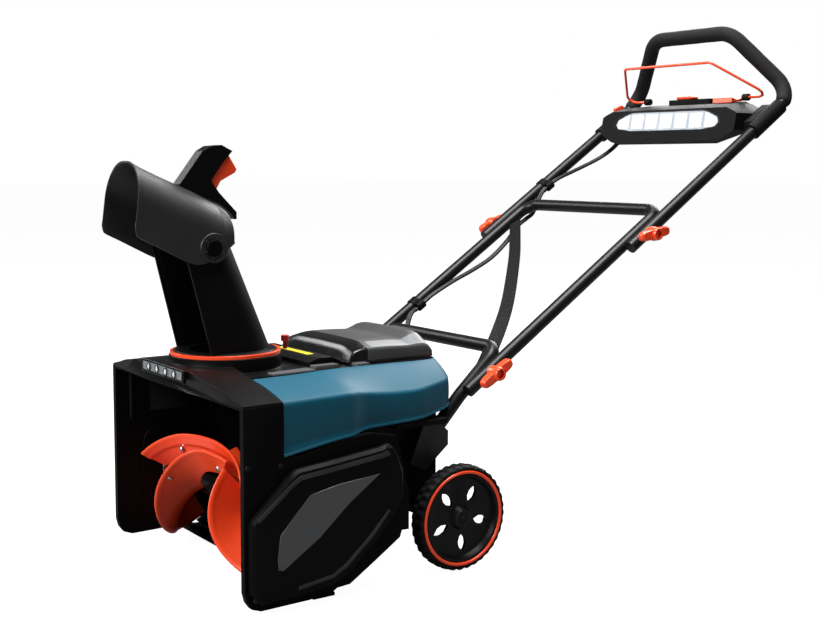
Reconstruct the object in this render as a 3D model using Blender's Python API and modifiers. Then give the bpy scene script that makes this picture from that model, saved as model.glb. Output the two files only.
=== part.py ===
"""Single stage snowblower, one object per physical piece. Metres, +Z up, front at -Y, floor at Z = 0.

Every piece is drawn with Y measured from the front edge of the side plates. One empty then carries them all
forward, so that the frame's origin is the middle of the wear bar, where the machine rests on the floor.
"""

import math

import bmesh
import bpy
import numpy as np
from mathutils import Matrix, Vector

# ---------------------------------------------------------------- driving dimensions
GAP = 0.0003  # clearance between touching pieces
WEAR_BAR_Y = 0.155  # from the front edge of the side plates back to the middle of the wear bar

HOUSING_HALF = 0.270  # outer faces of the two side plates
PLATE = 0.012  # side plate thickness
HOUSING_TOP = 0.339
AUGER_Y, AUGER_Z = 0.115, 0.125  # auger axis
AUGER_RADIUS = 0.112
TROUGH_RADIUS = 0.125  # inside of the curved back wall
SHELL = 0.004
SHAFT_RADIUS = 0.008

MOTOR_Y, MOTOR_Z = 0.262, 0.205
AUGER_PULLEY_RADIUS = 0.045
MOTOR_PULLEY_RADIUS = 0.018
BELT_THICK = 0.0025

WHEEL_Y = 0.432
WHEEL_RADIUS = 0.0956
WHEEL_OUT = 0.280  # outer face of the wheel
TYRE_WIDTH = 0.036

CHUTE_Y = 0.105
CHUTE_SEAT = 0.388
RING_RADIUS = 0.0982
DEFLECTOR_PIVOT = (0.049, 0.581)

TUBE_RADIUS = 0.0115
TUBE_WALL = 0.0016
FRAME_SLOPE = math.radians(33.4)
LOWER_HALF = 0.1813
MIDDLE_HALF = 0.2073
UPPER_HALF = 0.2333
LOWER_KNOB = (0.5417, 0.3404)
UPPER_KNOB = (0.9185, 0.5889)
MIDDLE_TOP = (0.9851, 0.6328)
LOOP_LOW = (1.3609, 0.8806)
LOOP_TOP = (1.2887, 1.0148)
LOOP_TOP_HALF = 0.1154
BAIL_AXIS = (1.3070, 0.8748)

LID_HALF = 0.122
DECK_HALF = 0.148

# ---------------------------------------------------------------- scene and helpers
for old in list(bpy.data.objects):
    bpy.data.objects.remove(old, do_unlink=True)

PARTS = bpy.data.collections.new("single_stage_snowblower")
CUTTERS = bpy.data.collections.new("cutters")
bpy.context.scene.collection.children.link(PARTS)
bpy.context.scene.collection.children.link(CUTTERS)
CUTTERS.hide_render = True

MATERIALS = {}


def material(name, colour, roughness, metallic=0.0):
    """A plain Principled material."""
    made = bpy.data.materials.new(name)
    made.use_nodes = True
    shader = made.node_tree.nodes["Principled BSDF"]
    shader.inputs["Base Color"].default_value = (*colour, 1.0)
    shader.inputs["Roughness"].default_value = roughness
    shader.inputs["Metallic"].default_value = metallic
    MATERIALS[name] = made


material("black_plastic", (0.012, 0.012, 0.013), 0.42)
material("satin_black_plastic", (0.018, 0.018, 0.020), 0.30)
material("grey_plastic", (0.10, 0.10, 0.11), 0.38)
material("silver_plastic", (0.35, 0.35, 0.36), 0.35)
material("blue_plastic", (0.01, 0.09, 0.16), 0.28)
material("orange_plastic", (0.80, 0.10, 0.02), 0.32)
material("orange_rubber", (0.78, 0.09, 0.02), 0.38)
material("red_plastic", (0.45, 0.02, 0.02), 0.35)
material("tyre_rubber", (0.02, 0.02, 0.02), 0.75)
material("foam", (0.03, 0.03, 0.03), 0.85)
material("webbing", (0.015, 0.015, 0.015), 0.80)
material("cable_jacket", (0.015, 0.015, 0.015), 0.45)
material("belt_rubber", (0.02, 0.02, 0.02), 0.70)
material("coated_steel", (0.03, 0.03, 0.032), 0.38, 0.3)
material("steel", (0.55, 0.55, 0.56), 0.30, 1.0)
material("clear_lens", (0.85, 0.87, 0.90), 0.08)


def new_object(name, mesh):
    obj = bpy.data.objects.new(name, mesh)
    PARTS.objects.link(obj)
    return obj


def from_faces(name, points, faces):
    """A closed body from listed faces, its normals turned outwards."""
    mesh = bpy.data.meshes.new(name)
    mesh.from_pydata([tuple(point) for point in points], [], faces)
    work = bmesh.new()
    work.from_mesh(mesh)
    bmesh.ops.recalc_face_normals(work, faces=work.faces)
    work.to_mesh(mesh)
    work.free()
    return new_object(name, mesh)


def baked(obj):
    """Replaces a curve or a modifier stack by its mesh, with doubled points merged."""
    graph = bpy.context.evaluated_depsgraph_get()
    mesh = bpy.data.meshes.new_from_object(obj.evaluated_get(graph))
    work = bmesh.new()
    work.from_mesh(mesh)
    bmesh.ops.remove_doubles(work, verts=work.verts, dist=1e-6)
    bmesh.ops.recalc_face_normals(work, faces=work.faces)
    work.to_mesh(mesh)
    work.free()
    mesh.transform(obj.matrix_world)
    name = obj.name
    bpy.data.objects.remove(obj, do_unlink=True)
    return new_object(name, mesh)


AXES = {
    "X": Matrix(((0, 0, 1, 0), (1, 0, 0, 0), (0, 1, 0, 0), (0, 0, 0, 1))),
    "Y": Matrix(((1, 0, 0, 0), (0, 0, -1, 0), (0, 1, 0, 0), (0, 0, 0, 1))),
    "Z": Matrix.Identity(4),
}


def plate(name, outline, axis, low, high):
    """A flat outline extruded along an axis: (y, z) points for X, (x, z) for Y, (x, y) for Z."""
    curve = bpy.data.curves.new(name, "CURVE")
    curve.dimensions = "2D"
    curve.fill_mode = "BOTH"
    curve.extrude = (high - low) / 2
    spline = curve.splines.new("POLY")
    spline.points.add(len(outline) - 1)
    for point, (a, b) in zip(spline.points, outline):
        point.co = (a, b, 0, 1)
    spline.use_cyclic_u = True
    obj = new_object(name, curve)
    middle = (high + low) / 2 * (-1 if axis == "Y" else 1)
    obj.matrix_world = AXES[axis] @ Matrix.Translation((0, 0, middle))
    bpy.context.view_layer.update()
    return baked(obj)


def box(name, low, high):
    """A box between two corners."""
    mesh = bpy.data.meshes.new(name)
    work = bmesh.new()
    size = [b - a for a, b in zip(low, high)]
    centre = [(a + b) / 2 for a, b in zip(low, high)]
    place = Matrix.Translation(centre) @ Matrix.Diagonal((*size, 1))
    bmesh.ops.create_cube(work, size=1, matrix=place)
    work.to_mesh(mesh)
    work.free()
    return new_object(name, mesh)


def rod(name, start, end, radius, sides=16):
    """A cylinder between two points."""
    start, end = Vector(start), Vector(end)
    run = end - start
    turn = run.to_track_quat("Z", "Y").to_matrix().to_4x4()
    mesh = bpy.data.meshes.new(name)
    work = bmesh.new()
    bmesh.ops.create_cone(
        work, cap_ends=True, segments=sides, radius1=radius, radius2=radius, depth=run.length,
        matrix=Matrix.Translation((start + end) / 2) @ turn,
    )
    work.to_mesh(mesh)
    work.free()
    return new_object(name, mesh)


def lathe_x(name, profile, y, z, steps=28):
    """A turned body about a line along X; profile holds (x, radius) points of its section."""
    mesh = bpy.data.meshes.new(name)
    count = len(profile)
    closed = min(radius for _, radius in profile) > 0
    edges = [(i, i + 1) for i in range(count - 1)] + ([(count - 1, 0)] if closed else [])
    mesh.from_pydata([(x, radius, 0) for x, radius in profile], edges, [])
    obj = new_object(name, mesh)
    obj.location = (0, y, z)
    screw = obj.modifiers.new("Turned", "SCREW")
    screw.axis = "X"
    screw.steps = steps
    screw.render_steps = steps
    screw.use_merge_vertices = True
    screw.merge_threshold = 0.0001
    bpy.context.view_layer.update()
    return baked(obj)


def rounded(points, radii, cuts=4):
    """A 3D path whose inner corners are replaced by arcs; radii holds one radius for each corner."""
    points = [Vector(point) for point in points]
    path = [points[0]]
    for before, corner, after, radius in zip(points, points[1:], points[2:], radii):
        a = (before - corner).normalized()
        b = (after - corner).normalized()
        half = a.angle(b) / 2
        reach = min(radius / math.tan(half), 0.49 * (before - corner).length, 0.49 * (after - corner).length)
        centre = corner + (a + b).normalized() * (reach / math.cos(half))
        first, last = corner + a * reach - centre, corner + b * reach - centre
        for i in range(cuts + 1):
            path.append(centre + first.slerp(last, i / cuts).normalized() * first.length)
    path.append(points[-1])
    return path


def tube(name, path, radius, resolution=3):
    """A round bar along a path, with filled ends."""
    curve = bpy.data.curves.new(name, "CURVE")
    curve.dimensions = "3D"
    curve.bevel_depth = radius
    curve.bevel_resolution = resolution
    curve.use_fill_caps = True
    spline = curve.splines.new("POLY")
    spline.points.add(len(path) - 1)
    for point, place in zip(spline.points, path):
        point.co = (*place, 1)
    obj = new_object(name, curve)
    bpy.context.view_layer.update()
    return baked(obj)


def loft(name, rings):
    """A solid through closed rings of equally many points, capped at both ends."""
    rings = np.array(rings, float)
    count, size, _ = rings.shape
    faces = [tuple(range(size)), tuple((count - 1) * size + i for i in reversed(range(size)))]
    for r in range(count - 1):
        for i in range(size):
            a, b = r * size + i, r * size + (i + 1) % size
            faces.append((a, b, b + size, a + size))
    return from_faces(name, rings.reshape(-1, 3), faces)


def combine(obj, other, operation):
    """Cuts other from obj, or joins it to obj, and files other with the cutters."""
    modifier = obj.modifiers.new(operation.title(), "BOOLEAN")
    modifier.operation = operation
    modifier.solver = "EXACT"
    modifier.object = other
    PARTS.objects.unlink(other)
    CUTTERS.objects.link(other)
    other.hide_render = True
    other.display_type = "WIRE"


def cut(obj, *others):
    for other in others:
        combine(obj, other, "DIFFERENCE")


def join(obj, *others):
    for other in others:
        combine(obj, other, "UNION")


def bevel(obj, width, segments=1, angle=40):
    """Rounds the sharp edges."""
    modifier = obj.modifiers.new("Edges", "BEVEL")
    modifier.width = width
    modifier.segments = segments
    modifier.limit_method = "ANGLE"
    modifier.angle_limit = math.radians(angle)


def finish(obj, colour, pivot=None, angle=35):
    """Gives a node its material and shading, and puts its origin at its pivot or its middle."""
    mesh = obj.data
    mesh.materials.clear()
    mesh.materials.append(MATERIALS[colour])
    mesh.shade_smooth()
    mesh.set_sharp_from_angle(angle=math.radians(angle))
    if pivot is None:
        corners = [Vector(corner) for corner in obj.bound_box]
        pivot = (corners[0] + corners[6]) / 2
    mesh.transform(Matrix.Translation(-Vector(pivot)))
    obj.location = pivot


def mirrored(points):
    """Points at +X, then the same points at -X in the opposite order."""
    return list(points) + [(-x, y, z) for x, y, z in reversed(list(points))]


def on_slope(along, knob=LOWER_KNOB):
    """(y, z) at a distance along the handle line from a knob axis."""
    return knob[0] + along * math.cos(FRAME_SLOPE), knob[1] + along * math.sin(FRAME_SLOPE)


# ---------------------------------------------------------------- auger housing
def trough_arc(radius, first, last, count):
    """(y, z) points of an arc about the auger axis, angles in degrees from the rear."""
    angles = np.radians(np.linspace(first, last, count))
    return [(AUGER_Y + radius * math.cos(a), AUGER_Z + radius * math.sin(a)) for a in angles]


SIDE_OUTLINE = [
    (0.000, HOUSING_TOP), (0.073, HOUSING_TOP), (0.0731, 0.2500), (0.102, 0.2512), (0.177, 0.2665),
    (0.240, 0.2720), (0.292, 0.2620), (0.304, 0.2200), (0.3186, 0.1600), (0.3186, 0.0935),
    (0.304, 0.0942), (0.300, 0.0825), (0.250, 0.0508), (0.198, 0.0189), (0.158, 0.0162),
    (0.120, 0.0069), (0.029, 0.0060), (0.0127, 0.0120), (0.0040, 0.0240), (0.000, 0.0400),
]
shell_outline = (
    [(0.0, HOUSING_TOP), (0.070, HOUSING_TOP), (0.071, 0.333), (0.205, 0.333)]
    + trough_arc(TROUGH_RADIUS + SHELL, 40, -66, 9)
    + trough_arc(TROUGH_RADIUS, -66, 40, 9)
    + [(0.198, 0.329), (0.062, 0.329), (0.060, HOUSING_TOP - SHELL), (0.0, HOUSING_TOP - SHELL)]
)
housing = plate("auger_housing", shell_outline, "X", -HOUSING_HALF + 0.0090, HOUSING_HALF - 0.0090)
for side in (1, -1):
    low, high = sorted((side * (HOUSING_HALF - PLATE), side * HOUSING_HALF))
    join(housing, plate(f"side_plate_{side}", SIDE_OUTLINE, "X", low, high))
    low, high = sorted((side * 0.2572, side * 0.2606))
    join(housing, plate(f"chamber_wall_{side}", [(0.069, 0.245), (0.069, 0.3310), (0.204, 0.3310), (0.214, 0.245)],
                        "X", low, high))
cut(housing, rod("chute_hole", (0, CHUTE_Y, 0.31), (0, CHUTE_Y, 0.36), 0.0675, 24))
cut(housing, rod("bearing_holes", (-0.3, AUGER_Y, AUGER_Z), (0.3, AUGER_Y, AUGER_Z), 0.0135, 16))
cut(housing, rod("motor_shaft_hole", (0.2, MOTOR_Y, MOTOR_Z), (0.3, MOTOR_Y, MOTOR_Z), 0.0085, 12))
finish(housing, "black_plastic")

scraper = plate(
    "scraper_bar",
    [(0.134, 0.0), (0.176, 0.0), (0.176, 0.0062), (0.1595, 0.0066), (0.150, 0.0095), (0.136, 0.0075)],
    "X", -HOUSING_HALF + PLATE + 0.001, HOUSING_HALF - PLATE - 0.001,
)
finish(scraper, "black_plastic")

# ---------------------------------------------------------------- top cowl and deck
COWL_X = (0.0, 0.06, 0.10, 0.15, 0.20, 0.235, 0.2685)
COWL_Z = (0.3765, 0.3765, 0.3760, 0.3665, 0.3590, 0.3505, 0.3432)
COWL_FRONT = (-0.0115, -0.0115, -0.0110, -0.0070, -0.0030, -0.0010, 0.0)


def cowl_ring(y_share):
    """One crosswise section of the cowl; the front section follows the bowed front edge."""
    top = []
    for x, z, front in zip(COWL_X, COWL_Z, COWL_FRONT):
        top.append((x, front + (0.0728 - front) * y_share, z))
    top = [(-x, y, z) for x, y, z in reversed(top[1:])] + top
    under = [(x, y, HOUSING_TOP + GAP) for x, y, z in reversed(top)]
    return top + under


deck = loft("top_deck", [cowl_ring(0.0), cowl_ring(0.15), cowl_ring(1.0)])
join(deck, plate("deck_plate", [
    (-DECK_HALF, 0.060), (DECK_HALF, 0.060), (DECK_HALF, 0.415), (0.1270, 0.4715), (-0.1270, 0.4715),
    (-DECK_HALF, 0.415),
], "Z", 0.3550, 0.3645))
join(deck, rod("chute_seat", (0, CHUTE_Y, HOUSING_TOP + 0.0060), (0, CHUTE_Y, CHUTE_SEAT), 0.1000, 32))
join(deck, plate(
    "lid_step",
    [(0.214, 0.3600), (0.214, 0.3740), (0.232, 0.3800), (0.262, 0.3800), (0.283, 0.3700), (0.283, 0.3600)],
    "X", -0.108, 0.108,
))
cut(deck, rod("chute_bore", (0, CHUTE_Y, 0.33), (0, CHUTE_Y, 0.42), 0.0685, 32))
cut(deck, box("battery_bay", (-0.100, 0.302, 0.34), (0.100, 0.452, 0.38)))
finish(deck, "black_plastic")

bezel = box("led_bezel", (-0.0885, -0.0190, 0.3550), (0.0885, -0.0118, 0.3785))
bevel(bezel, 0.0015)
cut(bezel, box("led_recess", (-0.0825, -0.0240, 0.3590), (0.0825, -0.0155, 0.3745)))
finish(bezel, "silver_plastic")
lens = box("led_lens", (-0.0822, -0.0182, 0.3593), (0.0822, -0.0158, 0.3742))
finish(lens, "clear_lens")

ring = rod("chute_ring", (0, CHUTE_Y, CHUTE_SEAT + GAP), (0, CHUTE_Y, 0.3945), RING_RADIUS, 40)
cut(ring, rod("ring_bore", (0, CHUTE_Y, 0.38), (0, CHUTE_Y, 0.40), 0.0920, 40))
finish(ring, "orange_plastic")

# ---------------------------------------------------------------- blue hood
HOOD_WALL = 0.003
# side foot, crease and top edge of the hood at stations from the front to the rear middle
HOOD_STATIONS = [
    # foot and crease x, y     foot z   crease z  top x,  y,      z
    ((0.2685, 0.0738), 0.2518, 0.3430, (0.1600, 0.0740), 0.3650),
    ((0.2685, 0.1700), 0.2672, 0.3450, (0.1500, 0.1700), 0.3640),
    ((0.2650, 0.2100), 0.2702, 0.3440, (0.1490, 0.2100), 0.3660),
    ((0.2420, 0.2450), 0.2722, 0.3370, (0.1490, 0.2500), 0.3665),
    ((0.2350, 0.3000), 0.2730, 0.3300, (0.1490, 0.3000), 0.3665),
    ((0.2340, 0.3600), 0.2750, 0.3280, (0.1490, 0.3700), 0.3660),
    ((0.2220, 0.4000), 0.2780, 0.3310, (0.1490, 0.4200), 0.3655),
    ((0.1800, 0.4740), 0.2860, 0.3370, (0.1300, 0.4750), 0.3650),
    ((0.0000, 0.4860), 0.2880, 0.3390, (0.0000, 0.4755), 0.3650),
]


def hood_ring(index):
    """Six points of the hood wall at one station: outside foot, crease, edge, then the inside."""
    places = [Vector(station[0]) for station in HOOD_STATIONS]
    before, after = places[max(index - 1, 0)], places[min(index + 1, len(places) - 1)]
    run = (after - before).normalized()
    if index == len(places) - 1:
        run = Vector((-1, 0))
    inward = Vector((-run.y, run.x))
    (sx, sy), foot, crease, (tx, ty), top = HOOD_STATIONS[index]
    dx, dy = inward * HOOD_WALL
    return [
        (sx, sy, foot), (sx, sy, crease), (tx, ty, top),
        (tx, ty, top - HOOD_WALL), (sx + dx, sy + dy, crease - HOOD_WALL), (sx + dx, sy + dy, foot),
    ]


right_rings = [hood_ring(i) for i in range(len(HOOD_STATIONS))]
left_rings = [[(-x, y, z) for x, y, z in ring] for ring in reversed(right_rings[:-1])]
hood = loft("hood", right_rings + left_rings)
for side in (1, -1):
    cut(hood, rod(f"leg_notch_{side}", (side * LOWER_HALF, 0.4400, 0.2406), (side * LOWER_HALF, 0.5200, 0.3244),
                  TUBE_RADIUS + 0.0015, 12))
finish(hood, "blue_plastic")

# ---------------------------------------------------------------- battery lid, battery and electronics
LID_STATIONS = [
    # y, top z, shoulder z
    (0.2860, 0.3700, 0.3690), (0.2920, 0.3900, 0.3800), (0.3040, 0.4010, 0.3890), (0.3300, 0.4040, 0.3915),
    (0.4200, 0.4010, 0.3895), (0.4400, 0.4120, 0.3900), (0.4580, 0.4120, 0.3890), (0.4720, 0.3960, 0.3800),
]


def lid_ring(y, top, shoulder, inset=0.0):
    """A domed crosswise section of the lid."""
    half = LID_HALF - inset
    low = 0.3660 - inset
    top, shoulder = top - inset, shoulder - inset
    return [
        (half + 0.004 * (inset == 0), y, low), (half, y, shoulder), (half - 0.030, y, top - 0.003),
        (0, y, top), (-half + 0.030, y, top - 0.003), (-half, y, shoulder),
        (-half - 0.004 * (inset == 0), y, low),
    ]


lid = loft("battery_lid", [lid_ring(*station) for station in LID_STATIONS])
inner_stations = [(y, top, shoulder) for y, top, shoulder in LID_STATIONS[2:-1]]
cut(lid, loft("lid_hollow", [lid_ring(*station, inset=0.003) for station in inner_stations]))
finish(lid, "grey_plastic", (0, 0.2880, 0.3680))

battery = box("battery_pack", (-0.060, 0.312, 0.2684), (0.060, 0.446, 0.3700))
bevel(battery, 0.006, 2)
finish(battery, "black_plastic")

chassis = plate(
    "rear_chassis",
    [
        (0.262, 0.1000), (0.400, 0.1000), (0.410, 0.0800), (0.452, 0.0800), (0.452, 0.2600),
        (0.452, 0.2685), (0.262, 0.2685),
    ],
    "X", -0.1650, 0.1650,
)
join(chassis, box("hood_ledge", (-0.2280, 0.322, 0.2600), (0.2280, 0.432, 0.2690)))
cut(chassis, box("chassis_well", (-0.1610, 0.266, 0.1040), (0.1610, 0.448, 0.30)))
join(chassis, box("battery_floor", (-0.1620, 0.303, 0.2640), (0.1620, 0.450, 0.2680)))
cut(chassis, rod("axle_hole", (-0.3, WHEEL_Y, WHEEL_RADIUS), (0.3, WHEEL_Y, WHEEL_RADIUS), 0.0063, 12))
finish(chassis, "black_plastic")

control = box("control_unit", (-0.060, 0.330, 0.1200), (0.060, 0.430, 0.1550))
join(control, box("control_foot", (-0.050, 0.340, 0.1043), (0.050, 0.420, 0.1210)))
finish(control, "grey_plastic")

# ---------------------------------------------------------------- drive train
motor = rod("drive_motor", (0.170, MOTOR_Y + 0.002, MOTOR_Z), (0.2577, MOTOR_Y + 0.002, MOTOR_Z), 0.0360, 24)
finish(motor, "steel")

motor_pulley = lathe_x(
    "motor_pulley",
    [(0.2580, 0.0), (0.2580, 0.006), (0.2715, 0.006), (0.2715, MOTOR_PULLEY_RADIUS),
     (0.2815, MOTOR_PULLEY_RADIUS), (0.2815, 0.0)],
    MOTOR_Y, MOTOR_Z, 20,
)
finish(motor_pulley, "steel", (0.2765, MOTOR_Y, MOTOR_Z))

auger_pulley = lathe_x(
    "auger_pulley",
    [(0.2715, 0.0083), (0.2715, AUGER_PULLEY_RADIUS), (0.2815, AUGER_PULLEY_RADIUS), (0.2815, 0.0083)],
    AUGER_Y, AUGER_Z, 28,
)
finish(auger_pulley, "black_plastic", (0.2765, AUGER_Y, AUGER_Z))


def belt_outline(grow):
    """The belt's loop round both pulleys, larger than them by grow."""
    big, small = AUGER_PULLEY_RADIUS + grow, MOTOR_PULLEY_RADIUS + grow
    run = Vector((MOTOR_Y - AUGER_Y, MOTOR_Z - AUGER_Z))
    heading = math.atan2(run.y, run.x)
    spread = math.acos((big - small) / run.length)
    points = []
    for angle in np.linspace(heading + spread, heading + 2 * math.pi - spread, 15):
        points.append((AUGER_Y + big * math.cos(angle), AUGER_Z + big * math.sin(angle)))
    for angle in np.linspace(heading - spread, heading + spread, 9):
        points.append((MOTOR_Y + small * math.cos(angle), MOTOR_Z + small * math.sin(angle)))
    return points


belt = plate("drive_belt", belt_outline(0.0006 + BELT_THICK), "X", 0.2725, 0.2805)
cut(belt, plate("belt_inside", belt_outline(0.0006), "X", 0.27, 0.285))
finish(belt, "belt_rubber")

for name, side in (("bearing_left", 1), ("bearing_right", -1)):
    bearing = lathe_x(
        name,
        [(side * 0.2545, SHAFT_RADIUS + GAP), (side * 0.2545, 0.0220), (side * 0.2577, 0.0220),
         (side * 0.2577, 0.0132), (side * 0.2698, 0.0132), (side * 0.2698, SHAFT_RADIUS + GAP)],
        AUGER_Y, AUGER_Z, 20,
    )
    finish(bearing, "steel")

# ---------------------------------------------------------------- side covers
COVER_OUTLINE = [
    (0.0062, 0.0400), (0.0062, 0.1500), (0.0090, 0.1590), (0.0386, 0.1864), (0.0734, 0.2203),
    (0.0900, 0.2327), (0.1694, 0.2401), (0.2545, 0.2493), (0.2687, 0.2530), (0.2810, 0.2459),
    (0.2913, 0.2255), (0.2996, 0.2035), (0.3018, 0.1613), (0.2853, 0.1289), (0.2383, 0.0829),
    (0.1884, 0.0403), (0.1610, 0.0268), (0.1000, 0.0180), (0.0240, 0.0180),
]


def inset(outline, by):
    """The outline moved inwards by a small distance; the points run clockwise."""
    moved = []
    for i, here in enumerate(outline):
        here = Vector(here)
        a = (here - Vector(outline[i - 1])).normalized()
        b = (Vector(outline[(i + 1) % len(outline)]) - here).normalized()
        normal = Vector((a.y + b.y, -a.x - b.x)).normalized()
        moved.append(tuple(here + normal * by / max(normal.dot(Vector((a.y, -a.x))), 0.5)))
    return moved


def side_cover(name, side):
    """A shallow tray over one side plate, with a stepped, chamfered face."""
    stations = ((HOUSING_HALF + GAP, 0.0), (0.2790, 0.0008), (0.2858, 0.0065))
    rings = [[(side * x, y, z) for y, z in inset(COVER_OUTLINE, by)] for x, by in stations]
    cover = loft(name, rings)
    low, high = sorted((side * 0.2600, side * 0.2828))
    cut(cover, plate(name + "_hollow", inset(COVER_OUTLINE, 0.0075), "X", low, high))
    return cover


belt_cover = side_cover("belt_cover", 1)
finish(belt_cover, "black_plastic", angle=20)
bearing_cover = side_cover("bearing_cover", -1)
finish(bearing_cover, "black_plastic", angle=20)

# ---------------------------------------------------------------- auger
AUGER_ORIGIN = (0, AUGER_Y, AUGER_Z)
shaft = rod("auger_shaft", (-0.2700, AUGER_Y, AUGER_Z), (0.2820, AUGER_Y, AUGER_Z), SHAFT_RADIUS, 16)
join(shaft, box("shaft_square", (-0.2520, AUGER_Y - 0.0130, AUGER_Z - 0.0130),
                (0.2520, AUGER_Y + 0.0130, AUGER_Z + 0.0130)))
finish(shaft, "black_plastic", AUGER_ORIGIN)


def band(name, stations, thick):
    """A bent sheet: each station holds x, angle in degrees and radius of its inner edge, then of its rim."""
    edges = []
    for station in stations:
        ends = []
        for x, angle, radius in (station[:3], station[3:]):
            a = math.radians(angle)
            ends.append(Vector((x, AUGER_Y + radius * math.cos(a), AUGER_Z + radius * math.sin(a))))
        edges.append(ends)
    rings = []
    for i, (near, far) in enumerate(edges):
        before, after = edges[max(i - 1, 0)], edges[min(i + 1, len(edges) - 1)]
        ring = []
        for point, run in ((near, after[0] - before[0]), (far, after[1] - before[1])):
            ring.append((point, run.cross(far - near).normalized() * thick / 2))
        rings.append([point - half for point, half in ring] + [point + half for point, half in reversed(ring)])
    return loft(name, rings)


SHEET = 0.0045  # thickness of the rubber
# rim of each sheet: x and angle in degrees, from +Y towards +Z
FAR_RIM = [
    (0.108, 124), (0.080, 123), (0.050, 123), (0.020, 123), (-0.004, 125), (-0.024, 130), (-0.042, 138),
    (-0.057, 149), (-0.070, 162), (-0.082, 176), (-0.093, 191), (-0.105, 207), (-0.122, 222), (-0.145, 237),
    (-0.173, 251), (-0.207, 264),
]
NEAR_RIM = [
    (0.1190, 132), (0.1215, 141), (0.1240, 152), (0.1270, 163), (0.1310, 174), (0.1370, 185), (0.1460, 196),
    (0.1590, 206), (0.1750, 215), (0.1950, 224), (0.2180, 233),
]
PADDLE_RIM = [
    (-0.183, 150), (-0.168, 140), (-0.151, 131), (-0.134, 124), (-0.112, 117), (-0.080, 112), (-0.045, 109),
    (0.000, 108), (0.040, 110), (0.075, 113), (0.107, 117), (0.130, 121), (0.155, 126), (0.178, 132), (0.200, 139),
    (0.222, 148),
]
HOLE = 0.058  # inner radius of the sheets

far_stations = []
for x, angle in FAR_RIM:
    slant = max(0.0, x - 0.030)  # the flat end is cut on a slant, so its inner corner lies further in
    far_stations.append((x - 0.9 * slant, angle + 140 * slant, HOLE, x, angle, AUGER_RADIUS))
finish(band("auger_flight_right", far_stations, SHEET), "orange_rubber", AUGER_ORIGIN)
near_stations = [(x + 0.006, angle, HOLE - 0.010, x, angle, AUGER_RADIUS) for x, angle in NEAR_RIM]
finish(band("auger_flight_left", near_stations, SHEET), "orange_rubber", AUGER_ORIGIN)
for name, turn in (("paddle_upper", 0), ("paddle_lower", 232)):
    stations = [(x, angle + turn, 0.052, x, angle + turn, AUGER_RADIUS) for x, angle in PADDLE_RIM]
    finish(band(name, stations, SHEET), "orange_rubber", AUGER_ORIGIN)

# ---------------------------------------------------------------- wheels
axle = rod("wheel_axle", (-0.2745, WHEEL_Y, WHEEL_RADIUS), (0.2745, WHEEL_Y, WHEEL_RADIUS), 0.0060, 12)
finish(axle, "steel")
HUB = WHEEL_RADIUS - 0.0170  # radius of the rim under the tyre


def leaf_outline(angle):
    """A leaf-shaped hole between two spokes: two arcs that meet in points near the hub and near the rim."""
    along = Vector((math.cos(angle), math.sin(angle)))
    across = Vector((-along.y, along.x))
    outline = []
    for bulge in (1, -1):
        for share in (0.0, 0.3, 0.6, 0.85):
            reach = 0.0300 + 0.0330 * (share if bulge > 0 else 1 - share)
            swell = math.sin(math.pi * (reach - 0.0300) / 0.0330) ** 0.7 * 0.0085 if 0 < share else 0.0
            point = Vector((WHEEL_Y, WHEEL_RADIUS)) + along * reach + across * swell * bulge
            outline.append((point.x, point.y))
    return outline


for name, side in (("left", 1), ("right", -1)):
    pivot = (side * 0.262, WHEEL_Y, WHEEL_RADIUS)
    inner, outer = side * (WHEEL_OUT - TYRE_WIDTH), side * WHEEL_OUT
    rim = lathe_x(
        f"wheel_rim_{name}",
        [(inner, 0.0063), (inner, 0.0180), (side * 0.262, 0.0240), (side * 0.262, HUB - 0.006),
         (inner, HUB - 0.006), (inner, HUB), (side * 0.2775, HUB), (side * 0.2775, HUB - 0.004),
         (side * 0.2680, HUB - 0.008), (side * 0.2680, 0.0220), (side * 0.2755, 0.0170), (side * 0.2755, 0.0063)],
        WHEEL_Y, WHEEL_RADIUS, 30,
    )
    for index in range(5):
        angle = math.radians(58 + 72 * index)
        cut(rim, plate(f"spoke_hole_{name}_{index}", leaf_outline(angle), "X", *sorted((side * 0.24, side * 0.29))))
    finish(rim, "black_plastic", pivot)
    tyre = lathe_x(
        f"tyre_{name}",
        [(inner + side * 0.0005, HUB + GAP), (inner + side * 0.0005, HUB + 0.010),
         (inner + side * 0.005, WHEEL_RADIUS - 0.001), (inner + side * 0.012, WHEEL_RADIUS),
         (outer - side * 0.012, WHEEL_RADIUS), (outer - side * 0.005, WHEEL_RADIUS - 0.001),
         (outer - side * 0.0015, HUB + 0.0096), (outer - side * 0.0015, HUB + 0.0092), (outer - side * 0.0040, HUB + 0.0092),
         (outer - side * 0.0040, HUB + GAP)],
        WHEEL_Y, WHEEL_RADIUS, 36,
    )
    finish(tyre, "tyre_rubber", pivot)
    trim = lathe_x(
        f"wheel_ring_{name}",
        [(outer - side * 0.0036, HUB + GAP), (outer - side * 0.0036, HUB + 0.0086), (outer, HUB + 0.0070),
         (outer, HUB + 0.0010)],
        WHEEL_Y, WHEEL_RADIUS, 36,
    )
    finish(trim, "orange_plastic", pivot)

# ---------------------------------------------------------------- chute
CHUTE_ORIGIN = (0, CHUTE_Y, CHUTE_SEAT)


def chute_ring(z, wall=0.0):
    """A horseshoe section of the chute, open to the front: outside round to the front, then back inside."""
    rise = z - 0.395
    half = 0.0720 - 0.024 * rise - wall
    back = 0.104 - 0.345 * rise
    front = 0.0435 - 0.253 * rise
    outer = [(half, front)] + [
        (half * math.cos(a), back + half * math.sin(a)) for a in np.linspace(0, math.pi, 11)
    ] + [(-half, front)]
    return [(x, y, z) for x, y in outer]


def horseshoe(z, wall):
    outside = chute_ring(z)
    inside = chute_ring(z, wall)
    return outside + inside[::-1]


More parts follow.
